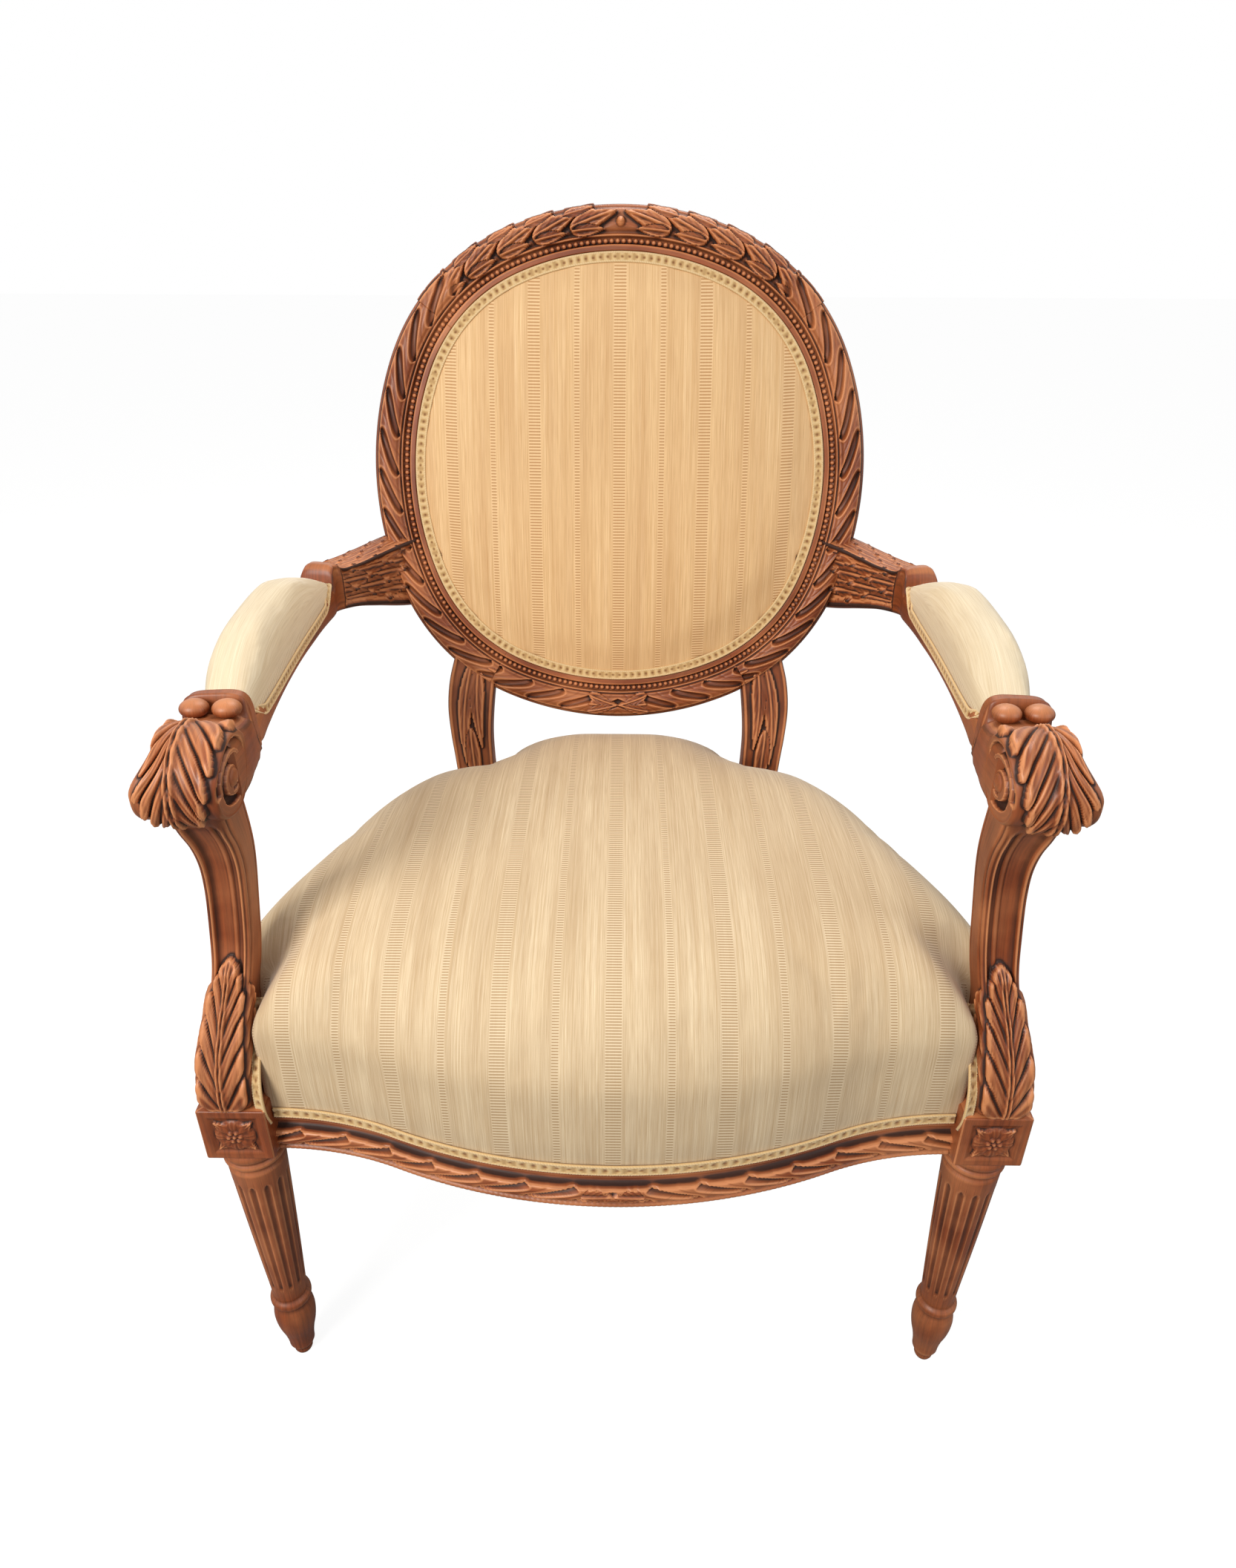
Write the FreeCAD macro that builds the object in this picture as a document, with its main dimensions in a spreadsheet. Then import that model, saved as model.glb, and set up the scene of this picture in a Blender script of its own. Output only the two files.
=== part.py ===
"""A medallion-back open armchair: carved frame, turned and fluted legs, stuffed seat, back and arms."""
import FreeCAD, Part
import math
import os
import Sketcher

doc = FreeCAD.newDocument("fauteuil")
sheet = doc.addObject("Spreadsheet::Sheet", "sizes")
V = FreeCAD.Vector

# Driving dimensions, in millimetres and degrees.
# Lengths along Y start at the axis of the front legs and grow towards the back.
SIZES = [
    ("leg_spread", 594, "between the axes of the two front legs"),
    ("rear_spread", 320, "between the axes of the two rear legs at the seat"),
    ("seat_run", 400, "front leg axis to rear leg axis at the seat"),
    ("block_side", 54, "side of the square block on a front leg"),
    ("rear_block", 48, "side of the square block on a rear leg"),
    ("rail_low", 293, "underside of the seat rails"),
    ("block_low", 298, "underside of the leg blocks"),
    ("block_high", 351, "top of the leg blocks and seat rails"),
    ("show_wood", 38, "height of the seat rails left bare of cloth"),
    ("rail_thick", 28, "thickness of the front and side rails"),
    ("rail_bow", 52, "how far the front rail swells past its ends"),
    ("rail_inset", 13, "front rail ends behind the front of the blocks"),
    ("side_bow", 8, "outward bow of a side rail"),
    ("tenon_long", 22, "length of a rail tenon"),
    ("tenon_thick", 10, "thickness of a rail tenon"),
    ("tenon_tall", 36, "height of a rail tenon"),
    ("joint_gap", 0.15, "play between a tenon and its mortise"),
    ("leg_top", 26.3, "radius of the fluted shaft at its head"),
    ("leg_foot", 17.4, "radius of the fluted shaft at its lower end"),
    ("rear_leg_top", 23.2, "radius of a rear leg's shaft at its head"),
    ("shaft_low", 88, "height of the lower end of the shaft"),
    ("ball_radius", 19.8, "radius of the turned ball foot"),
    ("toe_radius", 11, "radius of the toe under the ball"),
    ("flute_radius", 4.4, "radius of a flute at the head of the shaft"),
    ("flute_count", 12, "flutes round a leg"),
    ("toe_high", 28, "height of the tapering toe"),
    ("collar_tall", 26, "height of the turned rings under a leg block"),
    ("ring_tall", 13, "height of the upper ring"),
    ("neck_deep", 3.5, "how far the neck under that ring is turned in"),
    ("rear_rake", 8, "backward rake of the rear legs, degrees"),
    ("recline", 13.5, "recline of the back, degrees"),
    ("oval_wide", 247.5, "half width of the medallion over the wood"),
    ("oval_high", 250.5, "half height of the medallion over the wood"),
    ("oval_corner", 203, "radius of the four corner arcs of the medallion"),
    ("oval_offset", 37, "centre of a corner arc to the medallion's upright axis"),
    ("back_set", 24.4, "the back's face before the rear leg axis, at the top of the seat rails"),
    ("oval_height", 715, "height of the centre of the medallion's face"),
    ("frame_face", 42, "carved width of the medallion frame"),
    ("rebate", 12, "ledge inside the frame that takes the tacks"),
    ("rebate_deep", 8, "medallion face down to that ledge"),
    ("frame_back", 33, "medallion face to the back of its frame"),
    ("stile_wide", 44, "width of a stile between seat and medallion"),
    ("stile_thick", 27, "thickness of a stile"),
    ("crest_angle", 38, "where the crest rail starts, degrees above level"),
    ("lower_angle", 60, "where the lower rail starts, degrees below level"),
    ("scroll_radius", 33, "radius of the scroll at the front of an arm"),
    ("scroll_wide", 56, "width of that scroll"),
    ("scroll_depth", 4, "front leg axis to the centre of the scroll"),
    ("eye_radius", 7, "radius of the button in the middle of a volute"),
    ("volute_wide", 4.2, "width of the channel of a volute"),
    ("volute_step", 3.6, "how much the channel draws in with every quarter turn"),
    ("collar_rise", 25, "height of the step in front of an arm pad"),
    ("scroll_half", 281, "middle of the chair to the middle of the scroll"),
    ("arm_half", 297, "middle of the chair to the middle of an arm"),
    ("arm_top", 634, "top of the wood under an arm pad, and height of the scroll's centre"),
    ("arm_thick", 28, "thickness of the wood under an arm pad"),
    ("arm_wide", 46, "width of the wood under an arm pad"),
    ("root_drop", 16, "middle of an arm at the medallion, below the arm's top"),
    ("root_tall", 66, "height of an arm where it meets the medallion"),
    ("pad_front", 84, "front end of an arm pad"),
    ("pad_back", 364, "rear end of an arm pad"),
    ("pad_rise", 34, "top of an arm pad over the wood"),
    ("pad_wide", 55, "width of an arm pad"),
    ("hem_drop", 14, "lower edge of the cloth on an arm, below the wood's top"),
    ("post_half", 300, "middle of the chair to the foot of an arm post"),
    ("post_wide", 38, "width of the foot of an arm post"),
    ("seat_crown", 482, "top of the seat cushion"),
    ("seat_roll", 440, "height of the rolled edge of the seat"),
    ("seat_bulge", 6, "how far the sides of the seat swell"),
    ("cloth", 1.6, "thickness of the covers"),
    ("gimp_wide", 10, "width of the gimp braid"),
    ("gimp_thick", 2.2, "thickness of the gimp braid"),
    ("back_crown", 15, "swell of the inside back"),
    ("outback_crown", 6, "swell of the outside back"),
    ("web_wide", 50, "width of a webbing strap"),
    ("web_thick", 1.4, "thickness of webbing and hessian"),
    ("clear", 0.3, "clearance between soft parts and their neighbours"),
]


class Length(float):
    """A number that also knows the sheet expression it came from."""

    def __new__(cls, value, text):
        made = float.__new__(cls, value)
        made.text = text
        return made

    def __add__(self, other):
        return Length(float(self) + float(other), "(%s + %s)" % (self.text, words(other)))

    def __radd__(self, other):
        return Length(float(other) + float(self), "(%s + %s)" % (words(other), self.text))

    def __sub__(self, other):
        return Length(float(self) - float(other), "(%s - %s)" % (self.text, words(other)))

    def __rsub__(self, other):
        return Length(float(other) - float(self), "(%s - %s)" % (words(other), self.text))

    def __mul__(self, other):
        return Length(float(self) * float(other), "(%s * %s)" % (self.text, words(other)))

    __rmul__ = __mul__

    def __truediv__(self, other):
        return Length(float(self) / float(other), "(%s / %s)" % (self.text, words(other)))

    def __neg__(self):
        return Length(-float(self), "(0 - %s)" % self.text)


def words(value):
    """The text of a value inside an expression."""
    return value.text if isinstance(value, Length) else repr(float(value))


for row, (alias, number, note) in enumerate(SIZES, start=1):
    sheet.set("A%d" % row, note)
    sheet.set("B%d" % row, str(number))
    sheet.setAlias("B%d" % row, alias)
doc.recompute()


def size(alias):
    """A driving dimension, read from the sheet."""
    return Length(float(sheet.get(alias)), "sizes.%s" % alias)


def bind(thing, prop, value):
    """Set a property and tie it to the sheet."""
    if isinstance(value, Length):
        thing.setExpression(prop, value.text)


# Values worked out from the driving dimensions.
leg_half = size("leg_spread") / 2
rear_half = size("rear_spread") / 2
block_half = size("block_side") / 2
rear_block_half = size("rear_block") / 2
recline = math.radians(size("recline"))
show_top = size("rail_low") + size("show_wood")
rail_end = leg_half - block_half
rail_front = -block_half + size("rail_inset")
rail_swell = rail_front - size("rail_bow")
side_front = leg_half + block_half - 3
side_back = rear_half + rear_block_half - 2
seat_back = size("seat_run") + rear_block_half
arm_low = size("arm_top") - size("arm_thick")
pad_hem = size("arm_top") - size("hem_drop")
pad_crown = size("arm_top") + size("pad_rise")
over_rails = float(size("oval_height") - size("block_high"))
oval_depth = float(size("seat_run") - size("back_set")) + over_rails * math.tan(recline)
medallion = FreeCAD.Placement(V(0, oval_depth, size("oval_height")),
                              FreeCAD.Rotation(V(1, 0, 0), 90 - size("recline")))

# A length longer than the whole chair, for cutters and blanks that reach past everything.
BEYOND = 1000.0

# The origin lies under the middle of the chair's length, from the swell of the
# seat's front to the top of the medallion's back.
deepest = (oval_depth + float(size("oval_high")) * math.sin(recline)
           + float(size("frame_back")) * math.cos(recline))
middle = (deepest + float(rail_swell - size("seat_bulge"))) / 2
made = []


def keep(label, shape, at=None):
    """A sub-part whose shape comes from Part's own functions, moved to the chair's origin."""
    thing = doc.addObject("Part::Feature", label)
    thing.Label = label
    thing.Shape = shape
    thing.Placement = FreeCAD.Placement(V(0, -middle, 0), FreeCAD.Rotation()).multiply(
        at or FreeCAD.Placement())
    made.append(thing)
    return thing


def mirrored(shape):
    """The same shape on the other side of the chair."""
    return shape.mirror(V(0, 0, 0), V(1, 0, 0))


def plane_of(body, role):
    """An origin plane or axis of a body."""
    return next(item for item in body.Origin.OriginFeatures if item.Role == role)


def sketch(body, name, role, points, offset=None):
    """A closed outline of straight lines, every corner tied to the sheet."""
    made_sketch = body.newObject("Sketcher::SketchObject", name)
    made_sketch.AttachmentSupport = [(plane_of(body, role), "")]
    made_sketch.MapMode = "FlatFace"
    if offset is not None:
        made_sketch.AttachmentOffset = FreeCAD.Placement(V(0, 0, offset), FreeCAD.Rotation())
        bind(made_sketch, "AttachmentOffset.Base.z", offset)
    count = len(points)
    for corner in range(count):
        here, there = points[corner], points[(corner + 1) % count]
        made_sketch.addGeometry(
            Part.LineSegment(V(here[0], here[1], 0), V(there[0], there[1], 0)), False)
    for corner in range(count):
        made_sketch.addConstraint(
            Sketcher.Constraint("Coincident", corner, 2, (corner + 1) % count, 1))
    for corner, (across, up) in enumerate(points):
        for kind, value in (("DistanceX", across), ("DistanceY", up)):
            index = made_sketch.addConstraint(
                Sketcher.Constraint(kind, -1, 1, corner, 1, float(value)))
            bind(made_sketch, "Constraints[%d]" % index, value)
    return made_sketch


def face(points, at=lambda u, w: V(u, w, 0)):
    """A flat face from corners (u, w); a corner of four numbers ends an arc through the first two."""
    edges = []
    last = points[0][-2:]
    for point in list(points[1:]) + [points[0][-2:]]:
        end = point[-2:]
        if len(point) == 4:
            edges.append(Part.Arc(at(*last), at(*point[:2]), at(*end)).toShape())
        elif last != end:
            edges.append(Part.LineSegment(at(*last), at(*end)).toShape())
        last = end
    return Part.Face(Part.Wire(edges))


def moulding(section, arcs):
    """Carry a section along tangent arcs; u runs inwards from the arc and w runs up.

    An arc is (centre x, centre y, radius, start, end, side); side is 1 where the
    outside of the curve is the outside of the moulding, and -1 where it is the inside.
    """
    pieces = []
    for x, y, radius, start, end, side in arcs:
        turn = math.radians(start)

        def at(u, w):
            reach = radius - side * u
            return V(x + reach * math.cos(turn), y + reach * math.sin(turn), w)

        pieces.append(face(section, at).revolve(V(x, y, 0), V(0, 0, 1), end - start))
    whole = pieces[0]
    if len(pieces) > 1:
        whole = whole.fuse(pieces[1:]).removeSplitter()
    return whole.Solids[0]


def box(low, high):
    """A box between two corners."""
    return Part.makeBox(high[0] - low[0], high[1] - low[1], high[2] - low[2], V(*low))


def stack(rings):
    """A closed solid of flat facets through rings of corners, each ring as long as the last."""
    first = rings[0][::-1]
    faces = [Part.Face(Part.makePolygon(ring + ring[:1])) for ring in (first, rings[-1])]
    for lower, upper in zip(rings, rings[1:]):
        for index in range(len(lower)):
            after = (index + 1) % len(lower)
            corners = [lower[index], lower[after], upper[after], upper[index], lower[index]]
            faces.append(Part.Face(Part.makePolygon(corners)))
    solid = Part.Solid(Part.Shell(faces))
    if solid.Volume < 0:
        solid.reverse()
    return solid


# The medallion's outline: eight tangent arcs, drawn in by an inset.
class Oval:
    """A squarish oval of eight tangent arcs, in the plane of the back."""

    def __init__(self):
        wide, high = float(size("oval_wide")), float(size("oval_high"))
        self.corner = float(size("oval_corner"))
        self.out = float(size("oval_offset"))
        self.up = self.out + high - wide
        spare = wide - self.out
        self.side = (spare ** 2 + self.up ** 2 - self.corner ** 2) / (2 * (spare - self.corner))
        self.end = (spare ** 2 + self.out ** 2 - self.corner ** 2) / (2 * (spare - self.corner))
        self.side_centre = wide - self.side
        self.end_centre = high - self.end
        self.low_break = math.degrees(math.atan2(self.up, self.out - self.side_centre))
        self.high_break = math.degrees(math.atan2(self.up - self.end_centre, self.out))

    def arcs(self, start, end):
        """The arcs between two directions, counted anticlockwise in degrees from level."""
        low, high = self.low_break, self.high_break
        whole = []
        for turn in (-360, 0, 360):
            whole += [
                (self.side_centre, 0, self.side, turn - low, turn + low),
                (self.out, self.up, self.corner, turn + low, turn + high),
                (0, self.end_centre, self.end, turn + high, turn + 180 - high),
                (-self.out, self.up, self.corner, turn + 180 - high, turn + 180 - low),
                (-self.side_centre, 0, self.side, turn + 180 - low, turn + 180 + low),
                (-self.out, -self.up, self.corner, turn + 180 + low, turn + 180 + high),
                (0, -self.end_centre, self.end, turn + 180 + high, turn + 360 - high),
                (self.out, -self.up, self.corner, turn + 360 - high, turn + 360 - low),
            ]
        return [(x, y, r, max(a, start), min(b, end), 1) for x, y, r, a, b in whole
                if min(b, end) - max(a, start) > 0.01]

    def wire(self, inset, height):
        """The closed outline, drawn in by inset, at a height over the face."""
        edges = []
        for x, y, radius, start, end, side in self.arcs(0, 360):
            turns = [math.radians(start + (end - start) * part) for part in (0, 0.5, 1)]
            reach = radius - inset
            edges.append(Part.Arc(*[V(x + reach * math.cos(turn), y + reach * math.sin(turn), height)
                                    for turn in turns]).toShape())
        return Part.Wire(edges)

    def plate(self, inset, low, high):
        """A flat plate with this outline."""
        return Part.Face(self.wire(inset, low)).extrude(V(0, 0, high - low))

    def ring(self, inset, height):
        """Corners on the outline, five to an arc, for what the covers hide."""
        corners = []
        steps = 5
        for x, y, radius, start, end, side in self.arcs(0, 360):
            for step in range(steps):
                turn = math.radians(start + (end - start) * step / steps)
                reach = radius - inset
                corners.append(V(x + reach * math.cos(turn), y + reach * math.sin(turn), height))
        return corners


oval = Oval()

# Section of the medallion frame: u runs inwards from the outer edge, w is the height
# over the face of the back. A cove, a rounded band for the ribbon carving, a bead
# channel, a flat fillet and the tacking ledge.
band_end = float(size("frame_face")) - 14
frame_edge = float(size("frame_face"))
frame_inner = float(size("frame_face") + size("rebate"))
frame_rear = -float(size("frame_back"))
FRAME_SECTION = [
    (0, frame_rear),
    (0, -10),
    (band_end * 0.40, 1.6),
    (band_end * 0.70, 1.6),
    (band_end, -5),
    (band_end + 8, -5),
    (band_end + 8, -2),
    (frame_edge, -2),
    (frame_edge, -float(size("rebate_deep"))),
    (frame_inner, -float(size("rebate_deep"))),
    (frame_inner, frame_rear),
]


def frame_arc(start, end):
    """A length of the medallion frame between two directions."""
    return moulding(FRAME_SECTION, oval.arcs(start, end))


def rail_section():
    """Section of a show rail: bead, ribbon band, cove and fillet, then the tacking face."""
    low, top = float(size("rail_low")), float(size("block_high"))
    bare = float(size("show_wood"))
    deep = float(size("rail_thick"))
    return [
        (deep, low),
        (1, low),
        (0.5, low + bare * 0.55),
        (6, low + bare * 0.66),
        (6, low + bare * 0.80),
        (1.5, low + bare * 0.92),
        (1.5, low + bare),
        (5, low + bare),
        (5, top),
        (deep, top),
    ]


def front_arcs():
    """The serpentine front: a long swell between two hollows, all tangent."""
    half, rise = float(rail_end), float(size("rail_bow"))
    turn = 2 * math.degrees(math.atan(rise / half))
    whole = half / math.sin(math.radians(turn))
    swell, hollow = 0.63 * whole, 0.37 * whole
    front, end = float(rail_swell), float(rail_front)
    return [
        (-half, end - hollow, hollow, 90, 90 - turn, -1),
        (0, front + swell, swell, 270 - turn, 270 + turn, 1),
        (half, end - hollow, hollow, 90 + turn, 90, -1),
    ]


def tenon(low, high):
    """A rail tenon."""
    return box(low, high)


def grown(low, high):
    """The mortise for a tenon: the same box with play on every side."""
    play = float(size("joint_gap"))
    return box([value - play for value in low], [value + play for value in high])


# Tenons of the right-hand side: the left one mirrors them.
tenon_low = float(size("rail_low")) + 9
tenon_high = tenon_low + float(size("tenon_tall"))
half_tenon = float(size("tenon_thick")) / 2
long_tenon = float(size("tenon_long"))
front_tenon = ([float(rail_end) - 1, 2 - half_tenon, tenon_low],
               [float(rail_end) + long_tenon, 2 + half_tenon, tenon_high])
side_tenon = ([float(leg_half) + 5 - half_tenon, float(block_half) - long_tenon + 4, tenon_low],
              [float(leg_half) + 5 + half_tenon, float(block_half) + 1, tenon_high])
rear_front = float(size("seat_run") - rear_block_half)
rear_side_tenon = ([float(rear_half) + 6 - half_tenon, rear_front - 1, tenon_low],
                   [float(rear_half) + 6 + half_tenon, rear_front + long_tenon - 4, tenon_high])
rear_inner = float(rear_half - rear_block_half)
back_tenon = ([rear_inner - 1, float(size("seat_run")) + 8 - half_tenon, tenon_low],
              [rear_inner + long_tenon - 6, float(size("seat_run")) + 8 + half_tenon, tenon_high])
post_tenon = ([float(size("post_half")) - 4, -19, float(size("block_high")) - 24],
              [float(size("post_half")) + 12, 1, float(size("block_high")) + 2])


def fluted_shaft(head):
    """The fluted shaft: channels of three flats between narrow fillets, tapering to the foot."""
    count = int(size("flute_count"))
    pitch = 2 * math.pi / count
    half = float(size("flute_radius")) / float(size("leg_top"))
    head = float(head)
    low, high = float(size("shaft_low")), float(size("block_low") - size("collar_tall"))
    rings = []
    for height, radius in ((low, float(size("leg_foot"))), (high, head)):
        corners = []
        for index in range(count):
            for turn, reach in ((-half, 1), (-half * 0.45, 1 - half * 0.62),
                                (half * 0.45, 1 - half * 0.62), (half, 1)):
                bend = index * pitch + turn
                corners.append(V(radius * reach * math.cos(bend), radius * reach * math.sin(bend), height))
        rings.append(corners)
    return stack(rings)


def turned_leg(label, block, top, head, extra):
    """A leg under its square block: the turned collar and ball foot round the fluted shaft."""
    body = doc.addObject("PartDesign::Body", label + "_turning")
    low, half = size("block_low"), block / 2
    foot = size("leg_foot")
    shaft, ball, toe = size("shaft_low"), size("ball_radius"), size("toe_radius")
    toe_high = size("toe_high")
    ball_foot = sketch(body, label + "_foot_profile", "XZ_Plane", [
        (0, -extra),
        (toe, -extra),
        (ball, toe_high + 14),
        (ball, shaft - 20),
        (foot, shaft),
        (0, shaft),
    ])
    turning = body.newObject("PartDesign::Revolution", label + "_foot")
    turning.Profile = ball_foot
    turning.ReferenceAxis = (ball_foot, ["V_Axis"])
    turning.Angle = 360
    doc.recompute()
    collar = sketch(body, label + "_collar_profile", "XZ_Plane", [
        (0, low - size("collar_tall")),
        (head - size("neck_deep"), low - size("collar_tall")),
        (head - size("neck_deep"), low - size("ring_tall")),
        (head, low - size("ring_tall")),
        (head, low),
        (0, low),
    ])
    ring = body.newObject("PartDesign::Revolution", label + "_collar")
    ring.Profile = collar
    ring.ReferenceAxis = (collar, ["V_Axis"])
    ring.Angle = 360
    square = sketch(body, label + "_square", "XY_Plane",
                    [(-half, -half), (half, -half), (half, half), (-half, half)], offset=low)
    cube = body.newObject("PartDesign::Pad", label + "_block")
    cube.Profile = square
    cube.Length = top - low
    bind(cube, "Length", top - low)
    doc.recompute()
    return body.Shape.fuse(fluted_shaft(head))


def panel(low, top):
    """The sunk panel on the front face of a block at the origin, round an eight-sided boss."""
    half = float(block_half)
    inset, deep, boss = 8.0, 2.0, 11.0
    reach, tall = half - inset, (top - low) / 2 - inset
    middle_z = (low + top) / 2
    slab = box([-reach, -half - 1, middle_z - tall], [reach, -half + deep, middle_z + tall])
    corners = [V(boss * math.cos(math.radians(step)), -half - 2, middle_z + boss * math.sin(math.radians(step)))
               for step in range(0, 361, 45)]
    knob = Part.Face(Part.makePolygon(corners)).extrude(V(0, deep + 3, 0))
    return slab.cut(knob)


def front_legs():
    """Both front legs: turned leg and block, with mortises for two rails and the arm post."""
    blank = turned_leg("front_leg", size("block_side"), size("block_high"), size("leg_top"), 0)
    blank.translate(V(float(leg_half), 0, 0))
    low, top = float(size("block_low")), float(size("block_high"))
    cuts = [grown(*front_tenon), grown(*side_tenon), grown(*post_tenon)]
    for turn in (0, 90):
        sunk = panel(low, top)
        sunk.rotate(V(0, 0, 0), V(0, 0, 1), turn)
        sunk.translate(V(float(leg_half), 0, 0))
        cuts.append(sunk)
    leg = blank.cut(cuts).Solids[0]
    keep("front_leg_right", leg)
    keep("front_leg_left", mirrored(leg))


def stile_outline():
    """The stile in the plane of the back, from the seat block to the medallion."""
    wide = float(size("stile_wide"))
    foot = -over_rails / math.cos(recline) - 6
    axis = float(rear_half)
    join = -float(size("oval_high")) * 0.72
    bend, knee = foot + 52, foot + 104
    return face([
        (axis + wide / 2, foot),
        (axis + wide / 2 - 7, bend, axis + wide / 2 + 4, knee),
        (axis + wide / 2 + 5, join),
        (axis - wide / 2 + 2, join),
        (axis - wide / 2 + 4, knee),
        (axis - wide / 2 - 6, bend, axis - wide / 2 + 2, foot),
    ])


def rear_legs():
    """Both rear legs: turned leg, block, stile and the side arc of the medallion in one piece."""
    hip = V(float(rear_half), float(size("seat_run")), float(size("block_low")))
    lean = math.radians(size("rear_rake"))
    extra = hip.z * (1 / math.cos(lean) - 1) + float(size("toe_radius") + 3) * math.tan(lean)
    turning = turned_leg("rear_leg", size("rear_block"), size("block_low") + 2,
                         size("rear_leg_top"), extra)
    rake = FreeCAD.Rotation(V(1, 0, 0), float(size("rear_rake")))
    turning.Placement = FreeCAD.Placement(hip.sub(rake.multVec(V(0, 0, hip.z))), rake)
    low, top = float(size("block_low")) - 3, float(size("block_high"))
    floor = box([-BEYOND, -BEYOND, -60], [BEYOND, BEYOND, 0])
    half = float(rear_block_half)
    block = box([hip.x - half, hip.y - half, low], [hip.x + half, hip.y + half, top])
    stile = stile_outline().extrude(V(0, 0, float(size("stile_thick"))))
    stile.translate(V(0, 0, -float(size("frame_back"))))
    side = frame_arc(-float(size("lower_angle")), float(size("crest_angle")))
    core = oval.plate(frame_inner - 0.01, -60, 60)
    stile = stile.cut(core)
    upper = stile.fuse(side)
    upper.Placement = medallion
    leg = turning.fuse([block, upper]).cut([floor, grown(*rear_side_tenon), grown(*back_tenon)])
    leg = leg.removeSplitter().Solids[0]
    keep("back_leg_right", leg)
    keep("back_leg_left", mirrored(leg))


def back_rails():
    """The crest rail and the lower rail, which close the medallion between the back legs."""
    crest, lower = float(size("crest_angle")), float(size("lower_angle"))
    keep("crest_rail", frame_arc(crest, 180 - crest), medallion)
    keep("back_lower_rail", frame_arc(180 + lower, 360 - lower), medallion)


def seat_rails():
    """Front, side and back seat rails with their tenons."""
    front = moulding(rail_section(), front_arcs())
    left_tenon = tenon(*front_tenon).mirror(V(0, 0, 0), V(1, 0, 0))
    keep("front_rail", front.fuse([tenon(*front_tenon), left_tenon]).Solids[0])
    bent = moulding(rail_section(), side_arc())
    span = box([0, float(block_half), 0], [500, rear_front, 600])
    side = bent.common(span).fuse([tenon(*side_tenon), tenon(*rear_side_tenon)]).Solids[0]
    keep("side_rail_right", side)
    keep("side_rail_left", mirrored(side))
    low, top, step = float(size("rail_low")), float(size("block_high")), float(show_top)
    rear, deep = float(seat_back), float(size("rail_thick"))
    back = face([(rear - deep, low), (rear - 1.5, low), (rear - 1.5, step), (rear - 5, step),
                 (rear - 5, top), (rear - deep, top)], lambda u, w: V(-rear_inner, u, w))
    back = back.extrude(V(2 * rear_inner, 0, 0))
    other = tenon(*back_tenon).mirror(V(0, 0, 0), V(1, 0, 0))
    keep("back_rail", back.fuse([tenon(*back_tenon), other]).Solids[0])


def across_x(y, z):
    """A point of a side view."""
    return V(0, y, z)


def across_y(x, z):
    """A point of a front view."""
    return V(x, -200, z)


def flat(x, y):
    """A point of a plan."""
    return V(x, y, 0)


def volute():
    """The spiral channel of a scroll, in a side view: quarter arcs that shrink as they turn."""
    step, broad, quarters = float(size("volute_step")), float(size("volute_wide")), 4
    rim = 4.5
    reach = float(size("scroll_radius")) - rim
    centre_y, centre_z = 0.0, 0.0
    outer, inner = [], []
    turn = 180
    for index in range(quarters):
        radius = reach - index * step

        def at(angle, length, y=centre_y, z=centre_z):
            bend = math.radians(angle)
            return V(0, y + length * math.cos(bend), z + length * math.sin(bend))

        angles = (turn, turn - 45, turn - 90)
        outer.append([at(angle, radius) for angle in angles])
        inner.append([at(angle, radius - broad) for angle in angles])
        turn -= 90
        bend = math.radians(turn)
        centre_y += step * math.cos(bend)
        centre_z += step * math.sin(bend)
    edges = [Part.Arc(*points).toShape() for points in outer]
    edges.append(Part.LineSegment(outer[-1][2], inner[-1][2]).toShape())
    edges += [Part.Arc(*reversed(points)).toShape() for points in reversed(inner)]
    edges.append(Part.LineSegment(inner[0][0], outer[0][0]).toShape())
    return Part.Face(Part.Wire(edges))


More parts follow.
